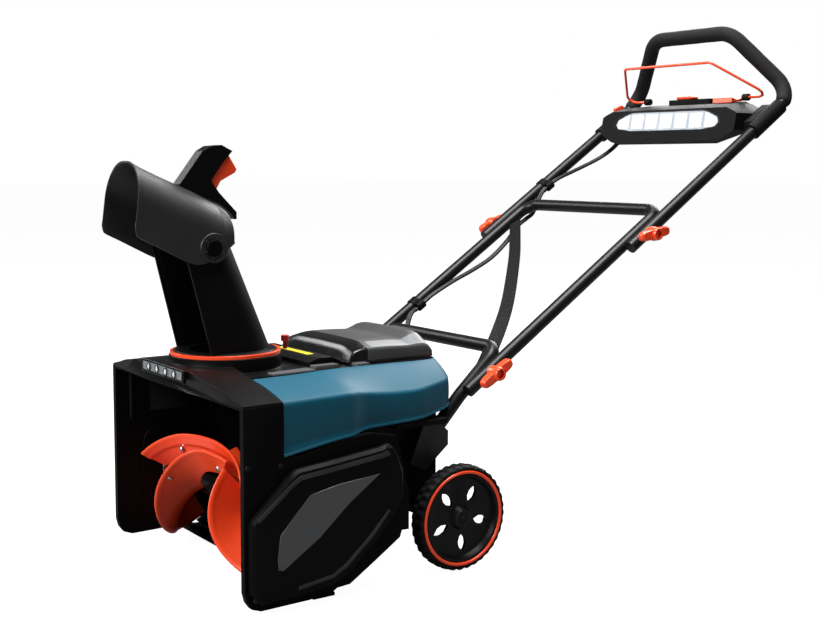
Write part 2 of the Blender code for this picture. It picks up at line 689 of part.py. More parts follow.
chute = loft("chute_tube", [horseshoe(z, 0.0035) for z in (0.3948, 0.4300, 0.5000, 0.5850)])
join(chute, rod("chute_spigot", (0, CHUTE_Y, 0.3450), (0, CHUTE_Y, 0.3915), 0.0675, 32))
join(chute, rod("chute_flange", (0, CHUTE_Y, CHUTE_SEAT + GAP), (0, CHUTE_Y, 0.3962), 0.0912, 40))
cut(chute, rod("chute_throat", (0, CHUTE_Y, 0.33), (0, CHUTE_Y, 0.43), 0.0635, 32))
finish(chute, "satin_black_plastic", CHUTE_ORIGIN)

knob = rod("chute_lock_knob", (0.0300, 0.2095, 0.3900), (0.0300, 0.2095, 0.4060), 0.0040, 10)
join(knob, rod("chute_lock_ball", (0.0300, 0.2095, 0.4040), (0.0300, 0.2095, 0.4150), 0.0075, 12))
finish(knob, "red_plastic", (0.0300, 0.2095, 0.3900))

# ---------------------------------------------------------------- deflector
PIVOT_Y, PIVOT_Z = DEFLECTOR_PIVOT
DEFLECTOR_ORIGIN = (0, PIVOT_Y, PIVOT_Z)
DEFLECTOR_HALF = 0.0735
DEFLECTOR_WALL = 0.003
SCOOP = [
    # y at the foot, foot z, top z, lean of the section towards the rear at its top
    (-0.0880, 0.6180, 0.7285, 0.0120), (-0.0830, 0.6070, 0.7265, 0.0100), (-0.0600, 0.5925, 0.7190, 0.0040),
    (-0.0300, 0.5720, 0.7055, 0.0), (0.0000, 0.5540, 0.6915, 0.0), (0.0200, 0.5450, 0.6820, 0.0),
    (0.0400, 0.5420, 0.6735, 0.0), (0.0620, 0.5480, 0.6650, 0.0), (0.0820, 0.5600, 0.6560, 0.0),
    (0.1000, 0.5760, 0.6440, 0.0), (0.1120, 0.5920, 0.6340, 0.0), (0.1180, 0.6050, 0.6200, 0.0),
]


def arch_ring(y, foot, top, lean, half, radius):
    """An upside down U section with rounded shoulders."""
    radius = min(radius, (top - foot) * 0.85)
    right = [
        (half - radius + radius * math.cos(a), top - radius + radius * math.sin(a))
        for a in np.linspace(0, math.pi / 2, 6)
    ]
    outline = [(half, foot)] + right + [(-x, z) for x, z in reversed(right)] + [(-half, foot)]
    return [(x, y + lean * (z - foot) / (top - foot), z) for x, z in outline]


deflector = loft("deflector", [arch_ring(*station, DEFLECTOR_HALF, 0.050) for station in SCOOP])
hollow = []
for y, foot, top, lean in SCOOP[:-1]:
    y = y - 0.015 if y < -0.085 else min(y, 0.1120)
    hollow.append(arch_ring(y, foot - 0.03, top - DEFLECTOR_WALL, lean, DEFLECTOR_HALF - DEFLECTOR_WALL, 0.047))
cut(deflector, loft("deflector_hollow", hollow))
for side in (1, -1):
    join(deflector, rod(f"pivot_disc_{side}", (side * (DEFLECTOR_HALF - 0.002), PIVOT_Y, PIVOT_Z),
                        (side * (DEFLECTOR_HALF + 0.0016), PIVOT_Y, PIVOT_Z), 0.0280, 28))
cut(deflector, rod("pivot_hole", (-0.09, PIVOT_Y, PIVOT_Z), (0.09, PIVOT_Y, PIVOT_Z), 0.0053, 12))
cut(chute, rod("pivot_hole_chute", (-0.09, PIVOT_Y, PIVOT_Z), (0.09, PIVOT_Y, PIVOT_Z), 0.0040, 12))
finish(deflector, "satin_black_plastic", DEFLECTOR_ORIGIN)

for name, side in (("left", 1), ("right", -1)):
    boss = lathe_x(
        f"deflector_pivot_{name}",
        [(side * 0.0640, 0.0), (side * 0.0640, 0.0037), (side * 0.0700, 0.0037), (side * 0.0700, 0.0050),
         (side * 0.0755, 0.0050), (side * 0.0755, 0.0150), (side * 0.0785, 0.0135), (side * 0.0785, 0.0)],
        PIVOT_Y, PIVOT_Z, 16,
    )
    finish(boss, "black_plastic")

GRIP_OUTLINE = [
    (0.0138, 0.6885), (0.0580, 0.7466), (0.0734, 0.7555), (0.0946, 0.7575), (0.1159, 0.7471),
    (0.0985, 0.7290), (0.0860, 0.7120), (0.0740, 0.6950), (0.0890, 0.6740), (0.1225, 0.6395),
    (0.1226, 0.6270), (0.1200, 0.6262), (0.1082, 0.6399), (0.0902, 0.6529), (0.0622, 0.6659), (0.0362, 0.6784),
]
grip = plate("deflector_grip", GRIP_OUTLINE, "X", -0.0150, 0.0150)
TRIGGER_OUTLINE = [
    (0.1120, 0.7400), (0.1274, 0.7153), (0.1240, 0.7090), (0.0958, 0.6942), (0.0868, 0.6790),
    (0.0760, 0.6930), (0.0790, 0.7010), (0.0980, 0.7250),
]
cut(grip, plate("trigger_slot", [
    (0.1160, 0.7400), (0.1310, 0.7153), (0.1260, 0.7060), (0.0958, 0.6910), (0.0900, 0.6745), (0.0840, 0.6780),
    (0.0660, 0.6920), (0.0640, 0.7050), (0.0820, 0.7320), (0.0985, 0.7460),
], "X", -0.0085, 0.0085))
finish(grip, "satin_black_plastic", DEFLECTOR_ORIGIN)
trigger = plate("deflector_trigger", TRIGGER_OUTLINE, "X", -0.0075, 0.0075)
TRIGGER_PIVOT = (0, 0.0820, 0.6880)
finish(trigger, "orange_plastic", TRIGGER_PIVOT)

# ---------------------------------------------------------------- handle frames
def hollow_tube(name, path):
    """A bent steel tube of the frame, open at both ends."""
    body = tube(name, path, TUBE_RADIUS)
    ends = [path[0] * 2 - path[1], *path[1:-1], path[-1] * 2 - path[-2]]
    cut(body, tube(name + "_bore", ends, TUBE_RADIUS - TUBE_WALL))
    return body


lower_path = [
    (LOWER_HALF, 0.3850, 0.1830), (LOWER_HALF, 0.4490, 0.2500), (LOWER_HALF, 0.4926, 0.2957),
    (LOWER_HALF, 0.5843, 0.3785),
]
lower = hollow_tube("lower_frame", rounded(mirrored(lower_path), [0.024] * 6))
finish(lower, "coated_steel")

for name, side in (("left", 1), ("right", -1)):
    bracket = plate(
        f"frame_bracket_{name}",
        [(0.372, 0.1880), (0.404, 0.1700), (0.4560, 0.2120), (0.4560, 0.2380), (0.4400, 0.2520), (0.4000, 0.2520)],
        "X", *sorted((side * (LOWER_HALF + TUBE_RADIUS + GAP), side * 0.1975)),
    )
    finish(bracket, "coated_steel")

low_y, low_z = on_slope(-0.058)
middle_path = [(MIDDLE_HALF, low_y, low_z), (MIDDLE_HALF, *MIDDLE_TOP)]
middle = hollow_tube("middle_frame", rounded(mirrored(middle_path), [0.030] * 2))
finish(middle, "coated_steel", (0, *LOWER_KNOB))

low_y, low_z = on_slope(-0.050, UPPER_KNOB)
upper_path = [(UPPER_HALF, low_y, low_z), (UPPER_HALF, *LOOP_LOW), (LOOP_TOP_HALF, *LOOP_TOP)]
LOOP_RADII = (0.034, 0.048, 0.048, 0.034)
upper = hollow_tube("upper_handle", rounded(mirrored(upper_path), LOOP_RADII, 5))
finish(upper, "coated_steel", (0, *UPPER_KNOB))

loop_path = rounded(mirrored(upper_path), LOOP_RADII, 5)[1:-1]
start = (UPPER_HALF, *on_slope(0.490, UPPER_KNOB))
ahead = (UPPER_HALF, *on_slope(0.480, UPPER_KNOB))
foam = tube("foam_grip", mirrored([start])[:1] + loop_path + mirrored([start])[1:], 0.0140)
cut(foam, tube("foam_bore", mirrored([ahead])[:1] + loop_path + mirrored([ahead])[1:], TUBE_RADIUS + GAP))
finish(foam, "foam", (0, *UPPER_KNOB))

# ---------------------------------------------------------------- wing knobs
def wing_knob(name, side, x, place, angle):
    """A winged clamp nut: a hub with two tapering wings."""
    y, z = place
    body = lathe_x(
        name, [(side * x, 0.0), (side * x, 0.0120), (side * (x + 0.020), 0.0095), (side * (x + 0.026), 0.0070),
               (side * (x + 0.026), 0.0)],
        y, z, 14,
    )
    along = Vector((math.cos(angle), math.sin(angle)))
    across = Vector((-along.y, along.x))
    outline = []
    for reach, width in ((0.036, -0.0075), (0.036, 0.0075), (0.0, 0.0110), (-0.036, 0.0075),
                         (-0.036, -0.0075), (0.0, -0.0110)):
        point = Vector(place) + along * reach + across * width
        outline.append((point.x, point.y))
    join(body, plate(name + "_wings", outline, "X", *sorted((side * (x + 0.004), side * (x + 0.016)))))
    finish(body, "orange_plastic", (side * x, y, z))


LOWER_KNOB_X = MIDDLE_HALF + TUBE_RADIUS + GAP
UPPER_KNOB_X = UPPER_HALF + TUBE_RADIUS + GAP
wing_knob("lower_knob_left", 1, LOWER_KNOB_X, LOWER_KNOB, math.radians(32))
wing_knob("lower_knob_right", -1, LOWER_KNOB_X, LOWER_KNOB, math.radians(32))
wing_knob("upper_knob_left", 1, UPPER_KNOB_X, UPPER_KNOB, math.radians(10))
wing_knob("upper_knob_right", -1, UPPER_KNOB_X, UPPER_KNOB, math.radians(22))

# ---------------------------------------------------------------- control panel and its controls
PANEL_HALF = 0.2050
panel = plate(
    "control_panel",
    [(1.2000, 0.7780), (1.2150, 0.8500), (1.2400, 0.8580), (1.3150, 0.8660), (1.3280, 0.8600),
     (1.3150, 0.8380), (1.2150, 0.7720)],
    "X", -PANEL_HALF, PANEL_HALF,
)
panel_front = plate("panel_front", [
    (-0.2080, 0.8020), (-0.2080, 0.8350), (-0.1950, 0.8420), (-0.1450, 0.8620), (-0.1300, 0.8800),
    (0.1300, 0.8800), (0.1450, 0.8620), (0.1950, 0.8420), (0.2080, 0.8350), (0.2080, 0.8020),
    (0.1900, 0.7900), (0.1350, 0.7650), (-0.1350, 0.7650), (-0.1900, 0.7900),
], "Y", 1.18, 1.34)
combine(panel, panel_front, "INTERSECT")
for side in (1, -1):
    x = side * UPPER_HALF
    y0, z0 = on_slope(0.375, UPPER_KNOB)
    y1, z1 = on_slope(0.478, UPPER_KNOB)
    join(panel, rod(f"clamp_{side}", (x, y0, z0), (x, y1, z1), 0.0175, 14))
    low, high = sorted((side * 0.2000, side * 0.2250))
    join(panel, plate(f"clamp_web_{side}", [(1.238, 0.7990), (1.236, 0.8180), (1.300, 0.8560), (1.310, 0.8420)],
                      "X", low, high))
join(panel, box("button_hump", (-0.062, 1.2860, 0.8580), (0.062, 1.3270, 0.8750)))
cut(panel, box("button_well", (-0.0483, 1.2927, 0.8715), (0.0003, 1.3203, 0.89)))
cut(panel, box("switch_well", (0.0847, 1.2680, 0.8540), (0.1403, 1.3100, 0.89)))
cut(panel, tube("panel_tube_bore", [(x, *place) for x, place in (
    (UPPER_HALF, on_slope(0.30, UPPER_KNOB)), (UPPER_HALF, on_slope(0.52, UPPER_KNOB)))], TUBE_RADIUS + GAP, 3))
cut(panel, tube("panel_tube_bore_far", [(-UPPER_HALF, *on_slope(0.30, UPPER_KNOB)),
                                        (-UPPER_HALF, *on_slope(0.52, UPPER_KNOB))], TUBE_RADIUS + GAP, 3))
LENS_OUTLINE = [
    (-0.1580, 0.8180), (-0.1520, 0.8300), (-0.1200, 0.8430), (-0.1050, 0.8455), (0.1050, 0.8455), (0.1200, 0.8430),
    (0.1520, 0.8300), (0.1580, 0.8180), (0.1480, 0.8090), (0.1100, 0.8030), (-0.1100, 0.8030), (-0.1480, 0.8090),
]
LENS_ROOM = 0.0005
cut(panel, plate("lens_recess", [(x * (1 + LENS_ROOM / 0.158), 0.8243 + (z - 0.8243) * (1 + LENS_ROOM / 0.0212))
                                 for x, z in LENS_OUTLINE], "Y", 1.19, 1.2190))
cut(panel, rod("bail_bore", (-0.2, *BAIL_AXIS), (0.2, *BAIL_AXIS), 0.0035, 10))
finish(panel, "black_plastic", (0, *UPPER_KNOB))

headlight = plate("headlight_lens", [(1.2058, 0.8000), (1.2155, 0.8480), (1.2185, 0.8480), (1.2185, 0.8000)],
                  "X", -0.1600, 0.1600)
combine(headlight, plate("lens_front", LENS_OUTLINE, "Y", 1.19, 1.23), "INTERSECT")
finish(headlight, "clear_lens", (0, *UPPER_KNOB))

button = box("start_button", (-0.048, 1.2930, 0.8755), (0.000, 1.3200, 0.8830))
bevel(button, 0.003)
finish(button, "orange_plastic", (-0.024, 1.3065, 0.8755))

switch = plate("light_switch", [(1.270, 0.8625), (1.272, 0.8740), (1.290, 0.8700), (1.306, 0.8745), (1.308, 0.8665)],
               "X", 0.0850, 0.1400)
finish(switch, "orange_plastic", (0.1125, 1.289, 0.8650))

lever = plate("speed_lever", [(1.268, 0.8440), (1.262, 0.8600), (1.286, 0.8700), (1.292, 0.8600), (1.283, 0.8510)],
              "X", -0.2240, -0.2150)
finish(lever, "orange_plastic", (-0.2195, 1.274, 0.8415))

bail_path = [
    (0.1520, *BAIL_AXIS), (0.2181, *BAIL_AXIS), (0.1309, 1.2090, 0.9473),
]
bail = tube("bail", rounded(mirrored(bail_path), [0.016] * 4, 3), 0.0030, 2)
finish(bail, "orange_plastic", (0, *BAIL_AXIS))

# ---------------------------------------------------------------- control cables, their clips, and the strap
CABLE_RADIUS = 0.0034
CLIP_REACH = 0.0210  # from a frame tube's axis to the axis of the cable pair beside it


def sweep(name, path, section, sides):
    """A flat section swept along a path; each point's side vector gives the section's first axis."""
    path = [Vector(point) for point in path]
    rings = []
    for i, (here, side) in enumerate(zip(path, sides)):
        run = (path[min(i + 1, len(path) - 1)] - path[max(i - 1, 0)]).normalized()
        side = Vector(side)
        side = (side - run * side.dot(run)).normalized()
        normal = run.cross(side)
        rings.append([here + side * a + normal * b for a, b in section])
    return loft(name, rings)


PAIR_SECTION = []
for angle in np.radians((30, 0, -60, -120, -150)):
    PAIR_SECTION.append((CABLE_RADIUS * (1 + math.cos(angle)), CABLE_RADIUS * math.sin(angle)))
PAIR_SECTION = [(a, b) for a, b in PAIR_SECTION] + [(-a, -b) for a, b in PAIR_SECTION]


def cable_pair(name, path, pivot=None):
    """Two thin cables side by side, joined along their length."""
    body = sweep(name, path, PAIR_SECTION, [(1, 0, 0)] * len(path))
    finish(body, "cable_jacket", pivot)


def beside(half, y):
    """A point on the handle line, beside the far tube of a frame."""
    return (CLIP_REACH - half, y, LOWER_KNOB[1] + (y - LOWER_KNOB[0]) * math.tan(FRAME_SLOPE))


cable_pair("cable_upper", [
    (-0.190, 1.2600, 0.7960), (-0.192, 1.2500, 0.7780), (-0.198, 1.2250, 0.7560), (-0.205, 1.1853, 0.7340),
    (-0.2110, 1.1200, 0.7080), beside(UPPER_HALF, 1.0700), beside(UPPER_HALF, 1.0300), (-0.205, 0.9950, 0.6150),
    (-0.202, 0.9750, 0.6020), (-0.200, 0.9495, 0.5880), (-0.199, 0.9330, 0.5730),
], (0, *UPPER_KNOB))
cable_pair("cable_middle", [
    (-0.1985, 0.9325, 0.5724), (-0.197, 0.9146, 0.5534), (-0.194, 0.8656, 0.5165), (-0.192, 0.8089, 0.4896),
    (-0.190, 0.7534, 0.4678), (-0.1875, 0.6991, 0.4430), beside(MIDDLE_HALF, 0.6760), beside(MIDDLE_HALF, 0.6520),
    (-0.1800, 0.6329, 0.4020), (-0.1650, 0.6080, 0.3680), (-0.1540, 0.5700, 0.3450), (-0.1520, 0.5500, 0.3380),
], (0, *LOWER_KNOB))
cable_pair("cable_lower", [
    (-0.1519, 0.5490, 0.3377), (-0.1500, 0.5300, 0.3330), (-0.1400, 0.5050, 0.3240), (-0.1300, 0.4825, 0.3150),
])


def cable_clip(name, half, y):
    """A snap clip: one loop round a frame tube and a smaller one round the cable pair."""
    ends = []
    for step in (-0.009, 0.009):
        drop = y + step * math.cos(FRAME_SLOPE)
        ends.append((drop, LOWER_KNOB[1] + (drop - LOWER_KNOB[0]) * math.tan(FRAME_SLOPE)))
    along = [(y1, z1) for y1, z1 in ends]
    long = [on_slope((place[0] - LOWER_KNOB[0]) / math.cos(FRAME_SLOPE) + extra)
            for place, extra in zip(along, (-0.02, 0.02))]
    clip = rod(name, (-half, *along[0]), (-half, *along[1]), 0.0152, 16)
    join(clip, rod(name + "_loop", (CLIP_REACH - half, *along[0]), (CLIP_REACH - half, *along[1]), 0.0100, 12))
    cut(clip, rod(name + "_bore", (-half, *long[0]), (-half, *long[1]), TUBE_RADIUS + GAP, 16))
    cut(clip, rod(name + "_eye", (CLIP_REACH - half, *long[0]), (CLIP_REACH - half, *long[1]), 0.0078, 12))
    return clip


finish(cable_clip("cable_clip_upper", UPPER_HALF, 1.0500), "black_plastic", (0, *UPPER_KNOB))
finish(cable_clip("cable_clip_lower", MIDDLE_HALF, 0.6640), "black_plastic", (0, *LOWER_KNOB))

STRAP_PATH = [
    (-0.1850, 0.9253, 0.5947), (-0.1440, 0.8920, 0.5569), (-0.0990, 0.8526, 0.5167),
    (-0.0080, 0.7624, 0.4422), (0.0600, 0.6842, 0.3920), (0.1280, 0.5979, 0.3472), (0.1590, 0.5500, 0.3180),
]
STRAP_TURN = (20, 15, 5, -10, -30, -50, -62)  # roll of the webbing about its own run, degrees
strap_sides = []
for turn in STRAP_TURN:
    angle = math.radians(turn)
    strap_sides.append(Vector((0.75, 0.60, 0.30)).normalized() * math.cos(angle) + Vector((0, 0, 1)) * math.sin(angle))
strap = sweep("strap", STRAP_PATH, [(0.0140, -0.0008), (0.0140, 0.0008), (-0.0140, 0.0008), (-0.0140, -0.0008)],
              strap_sides)
finish(strap, "webbing", (0, *LOWER_KNOB))

# ---------------------------------------------------------------- frame of the part
datum = bpy.data.objects.new("wear_bar_datum", None)
bpy.context.scene.collection.objects.link(datum)
datum.location = (0, -WEAR_BAR_Y, 0)
for piece in [*PARTS.objects, *CUTTERS.objects]:
    piece.parent = datum
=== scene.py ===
"""Single stage snowblower: the looks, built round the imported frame. Metres, +Z up, front at -Y."""

import math

import bmesh
import bpy
import numpy as np
from mathutils import Matrix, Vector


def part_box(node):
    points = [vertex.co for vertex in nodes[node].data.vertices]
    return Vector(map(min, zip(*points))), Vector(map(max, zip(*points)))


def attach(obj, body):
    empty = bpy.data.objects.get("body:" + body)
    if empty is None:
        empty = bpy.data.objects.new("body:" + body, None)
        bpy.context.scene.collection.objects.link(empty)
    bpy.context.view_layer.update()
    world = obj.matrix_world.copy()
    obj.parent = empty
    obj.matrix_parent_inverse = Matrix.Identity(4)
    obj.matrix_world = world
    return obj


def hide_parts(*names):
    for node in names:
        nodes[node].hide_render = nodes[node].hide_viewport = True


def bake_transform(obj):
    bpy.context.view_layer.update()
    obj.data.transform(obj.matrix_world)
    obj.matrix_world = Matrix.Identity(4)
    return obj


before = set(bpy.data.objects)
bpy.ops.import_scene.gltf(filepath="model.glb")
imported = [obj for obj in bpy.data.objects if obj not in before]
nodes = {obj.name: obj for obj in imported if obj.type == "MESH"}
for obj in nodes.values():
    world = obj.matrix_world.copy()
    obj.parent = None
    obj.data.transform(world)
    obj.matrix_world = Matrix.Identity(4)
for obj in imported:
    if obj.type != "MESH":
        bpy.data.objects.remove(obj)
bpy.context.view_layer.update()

# ---------------- camera
# A long lens at about waist height, off the machine's front left corner, looking slightly down.
# Lengths along Y are counted from the front edge of the side plates, which FRONT gives in the frame.
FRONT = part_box("auger_housing")[0][1]
CAMERA_PLACE = (2.0383, FRONT - 0.9075, 0.7254)
CAMERA_TURNS = ((54.4994, "Z"), (90 - 5.0724, "X"), (0.1901, "Z"))
SENSOR, LENS, NEAREST = 36.0, 55.56, 0.05
SHIFT = (-0.0199, -0.046)


def added(name, data):
    """A new object of this data, linked into the scene."""
    made = bpy.data.objects.new(name, data)
    bpy.context.scene.collection.objects.link(made)
    return made


camera_data = bpy.data.cameras.new("camera")
camera_data.sensor_width, camera_data.lens, camera_data.clip_start = SENSOR, LENS, NEAREST
camera_data.shift_x, camera_data.shift_y = SHIFT
camera = added("camera", camera_data)
stance = Matrix.Translation(CAMERA_PLACE)
for degrees, axis in CAMERA_TURNS:
    stance = stance @ Matrix.Rotation(math.radians(degrees), 4, axis)
camera.matrix_world = stance
bpy.context.scene.camera = camera

# ---------------- studio
# A plain pale floor that meets a pale surround, lit by broad soft boxes above, in front and behind.
# Both light the machine more weakly than they look, so that black mouldings stay black.
FLOOR_HALF, FLOOR_GREY, FLOOR_GLOW = 40, (0.2, 0.2, 0.2, 1), 0.96
SURROUND_LIGHT, SURROUND_SEEN = 0.1, 1.0
WHITE = (1, 1, 1, 1)
SOFT_BOXES = (
    # name, place, target, width, watts
    ("key_light", (0.35, -3.3, 2.2), (0, 0.1, 0.2), 1.2, 150),
    ("side_light", (-2.6, -1.0, 2.2), (0, 0.2, 0.4), 1.2, 40),
    ("rear_light", (-1.6, 3.4, 2.6), (0, 0.4, 0.4), 2.2, 130),
    ("top_light", (0.3, 0.3, 3.4), (0, 0.3, 0.3), 1.8, 190),
)


def fill(node, values):
    """Sets a node's inputs by name or number: an output socket is linked, anything else is the constant."""
    for name, value in values.items():
        if isinstance(value, bpy.types.NodeSocket):
            node.id_data.links.new(value, node.inputs[name])
        else:
            node.inputs[name].default_value = value


def finish(name):
    """A new material, the call that adds a node to it, and its Principled shader."""
    material = bpy.data.materials.new(name)
    material.use_nodes = True
    return material, material.node_tree.nodes.new, material.node_tree.nodes["Principled BSDF"]


def when_seen(add, lit, seen):
    """A strength that is one number as light on the machine and another as the camera sees it."""
    strength, path = add("ShaderNodeMapRange"), add("ShaderNodeLightPath")
    fill(strength, {"Value": path.outputs["Is Camera Ray"], "To Min": lit, "To Max": seen})
    return strength.outputs["Result"]


floor_mesh = bpy.data.meshes.new("floor")
floor_corners = [(x * FLOOR_HALF, y * FLOOR_HALF, 0) for x, y in ((-1, -1), (1, -1), (1, 1), (-1, 1))]
floor_mesh.from_pydata(floor_corners, [], [(0, 1, 2, 3)])
added("floor", floor_mesh)
pale_floor, add, shader = finish("pale_floor")
fill(shader, {"Base Color": FLOOR_GREY, "Roughness": 1.0, "Specular IOR Level": 0.0, "Emission Color": WHITE,
              "Emission Strength": when_seen(add, 0.0, FLOOR_GLOW)})
floor_mesh.materials.append(pale_floor)

world = bpy.data.worlds.new("studio")
bpy.context.scene.world = world
world.use_nodes = True
surround = world.node_tree.nodes
surround_strength = when_seen(surround.new, SURROUND_LIGHT, SURROUND_SEEN)
fill(surround["Background"], {"Color": WHITE, "Strength": surround_strength})
bpy.context.scene.view_settings.view_transform = "Standard"

for name, place, target, width, watts in SOFT_BOXES:
    data = bpy.data.lights.new(name, "AREA")
    data.size, data.energy = width, watts
    lamp = added(name, data)
    lamp.location = place
    aim = np.array(target) - np.array(place)
    lamp.rotation_euler = (math.atan2(math.hypot(aim[0], aim[1]), -aim[2]), 0, math.atan2(-aim[0], aim[1]))

# ---------------- auger housing and scraper
# The box that gathers the snow: two thick side plates and a rolled back, moulded in black nylon with a fine
# grain, its edges rounded by the mould. The wear bar is bolted under the mouth.
CLOUD_SCALE, CLOUD_DETAIL, GRAIN_DETAIL = 14, 5, 2
RUBBED_FROM, RUBBED_FULL = 0.56, 0.66
RUBBED_GREY = (0.45, 0.45, 0.46, 1)
MERGE, FLAT, EDGE = 2e-6, math.radians(0.6), math.radians(40)
CASE_EDGE, SMALL_EDGE = 0.0012, 0.0006
PAD_DEPTH, RIB_DEPTH = 0.0028, 0.003
PAD_FACE, RIB_FACE = 0.258, 0.2572


def grain_group():
    """Fine pebble grain for height, slow cloudy noise for colour and roughness, and paler rubbed edges."""
    group = bpy.data.node_groups.new("moulded_grain", "ShaderNodeTree")
    for way, numbers in (("INPUT", ("Roughness", "Grain Scale", "Variation", "Rubbed")),
                         ("OUTPUT", ("Roughness", "Height"))):
        group.interface.new_socket(name="Colour", in_out=way, socket_type="NodeSocketColor")
        for name in numbers:
            group.interface.new_socket(name=name, in_out=way, socket_type="NodeSocketFloat")
    add = group.nodes.new

    def maths(kind, first, second):
        """One maths node on two sockets or numbers."""
        node = add("ShaderNodeMath")
        node.operation = kind
        fill(node, {0: first, 1: second})
        return node.outputs[0]

    given = add("NodeGroupInput").outputs
    place = add("ShaderNodeTexCoord").outputs["Object"]
    fine, cloud = add("ShaderNodeTexNoise"), add("ShaderNodeTexNoise")
    fill(fine, {"Vector": place, "Scale": given["Grain Scale"], "Detail": GRAIN_DETAIL})
    fill(cloud, {"Vector": place, "Scale": CLOUD_SCALE, "Detail": CLOUD_DETAIL})
    spread = maths("SUBTRACT", cloud.outputs["Fac"], 0.5)
    gain = maths("ADD", maths("MULTIPLY", spread, given["Variation"]), 1.0)
    tint = add("ShaderNodeVectorMath")
    tint.operation = "SCALE"
    fill(tint, {0: given["Colour"], "Scale": gain})
    edge = add("ShaderNodeMapRange")
    fill(edge, {"Value": add("ShaderNodeNewGeometry").outputs["Pointiness"], "From Min": RUBBED_FROM,
                "From Max": RUBBED_FULL})
    wear = maths("MULTIPLY", maths("MULTIPLY", edge.outputs["Result"], cloud.outputs["Fac"]), given["Rubbed"])
    paler = add("ShaderNodeMix")
    paler.data_type = "RGBA"
    fill(paler, {0: wear, 6: tint.outputs[0], 7: RUBBED_GREY})
    fill(add("NodeGroupOutput"), {"Colour": paler.outputs[2], "Height": fine.outputs["Fac"],
                                  "Roughness": maths("MULTIPLY", given["Roughness"], gain)})
    return group


GRAIN = grain_group()


def moulded(name, colour, roughness, grain=900.0, depth=0.0002, variation=0.35, metallic=0.0, shine=0.5,
            rubbed=0.12):
    """A finish: colour and roughness clouded by the grain group, with its fine height as bump."""
    material, add, shader = finish(name)
    group, bump = add("ShaderNodeGroup"), add("ShaderNodeBump")
    group.node_tree = GRAIN
    fill(group, {"Colour": (*colour, 1), "Roughness": roughness, "Grain Scale": grain, "Variation": variation,
                 "Rubbed": rubbed})
    fill(bump, {"Distance": depth, "Height": group.outputs["Height"]})
    fill(shader, {"Metallic": metallic, "Specular IOR Level": shine, "Base Color": group.outputs["Colour"],
                  "Roughness": group.outputs["Roughness"], "Normal": bump.outputs["Normal"]})
    return material


def placed(name, mesh, material, body, replaces, angle):
    """An object of a mesh in one finish, smooth where its faces meet flatter than the angle, riding on a body
    when one is given."""
    mesh.materials.clear()
    mesh.materials.append(material)
    mesh.shade_smooth()
    mesh.set_sharp_from_angle(angle=math.radians(angle))
    made = added(name, mesh)
    if body:
        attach(made, body)
    if replaces:
        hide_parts(*replaces)
    return made


def softened(node, material, body, radius=0.0008, segments=2, angle=32):
    """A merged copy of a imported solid, with its edges rounded and its curves smooth, that stands for it."""
    mesh = nodes[node].data.copy()
    work = bmesh.new()
    work.from_mesh(mesh)
    bmesh.ops.remove_doubles(work, verts=work.verts, dist=MERGE)
    bmesh.ops.dissolve_limit(work, angle_limit=FLAT, verts=work.verts, edges=work.edges)
    work.to_mesh(mesh)
    work.free()
    made = placed(node + "_moulding", mesh, material, body, [node], angle)
    if radius > 0:
        edges = made.modifiers.new("Edges", "BEVEL")
        edges.width, edges.segments = radius, segments
        edges.limit_method, edges.angle_limit = "ANGLE", EDGE


black = moulded("black_nylon", (0.0022, 0.0022, 0.0024), 0.44, shine=0.05, rubbed=0.06)
for node, radius in (("auger_housing", CASE_EDGE), ("scraper_bar", SMALL_EDGE), ("rear_chassis", 0.0008),
                     ("battery_pack", 0)):
    softened(node, black, "chassis", radius)


def unit(vectors):
    """The same vectors at length one."""
    return vectors / np.linalg.norm(vectors, axis=-1, keepdims=True)


def solid_of(rings, loop=False):
    """Points and faces of a solid through closed rings: each cell between two rings becomes one face, flat
    caps close the two ends unless the path is a loop, and the sign of the enclosed volume turns the faces
    outwards."""
    rings = np.asarray(rings, float)
    count, size, _ = rings.shape
    row, column = np.meshgrid(np.arange(count if loop else count - 1), np.arange(size), indexing="ij")
    after, beside = (row + 1) % count, (column + 1) % size
    cells = np.stack([row * size + column, row * size + beside, after * size + beside, after * size + column],
                     -1).reshape(-1, 4)
    points = rings.reshape(-1, 3)
    a, b, c, d = (points[cells[:, i]] - points.mean(axis=0) for i in range(4))
    volume = (a * np.cross(b, c)).sum() + (a * np.cross(c, d)).sum()
    faces = cells.tolist()
    if not loop:
        faces += [list(range(size))[::-1], list(range((count - 1) * size, count * size))]
    if volume < 0:
        faces = [face[::-1] for face in faces]
    return points, faces


def shell(grid, wall):
    """Points and faces of a closed skin: the grid of points, the same grid moved inwards along its normals by
    the wall, and quads along all four borders. The sign of the enclosed volume turns the faces outwards."""
    grid = np.asarray(grid, float)
    across, along = np.gradient(grid, axis=1), np.gradient(grid, axis=0)
    normal = np.cross(along, across)
    normal /= np.maximum(np.linalg.norm(normal, axis=2, keepdims=True), 1e-12)
    if ((grid - grid.mean(axis=(0, 1))) * normal).sum() < 0:
        normal = -normal
    rings = np.concatenate([grid, (grid - normal * wall)[:, ::-1]], axis=1)
    points, faces = solid_of(rings)
    count, size = rings.shape[0], rings.shape[1]
    flipped = faces[-1][0] != (count - 1) * size
    step = np.arange(size // 2 - 1)
    first = np.stack([step + 1, step, size - 1 - step, size - 2 - step], -1)
    last = (count - 1) * size + first[:, ::-1]
    ends = np.concatenate([first, last])
    ends = ends[:, ::-1] if flipped else ends
    return points, faces[:-2] + ends.tolist()


def piece(name, solids, material, body, replaces=(), angle=32):
    """One object from several solids, whose Y is counted from the front edge of the side plates."""
    points, faces, start = [], [], 0
    for part_points, part_faces in solids:
        points.append(part_points)
        faces += [[index + start for index in face] for face in part_faces]
        start += len(part_points)
    mesh = bpy.data.meshes.new(name)
    mesh.from_pydata(np.concatenate(points) + (0, FRONT, 0), [], faces)
    return placed(name, mesh, material, body, replaces, angle)


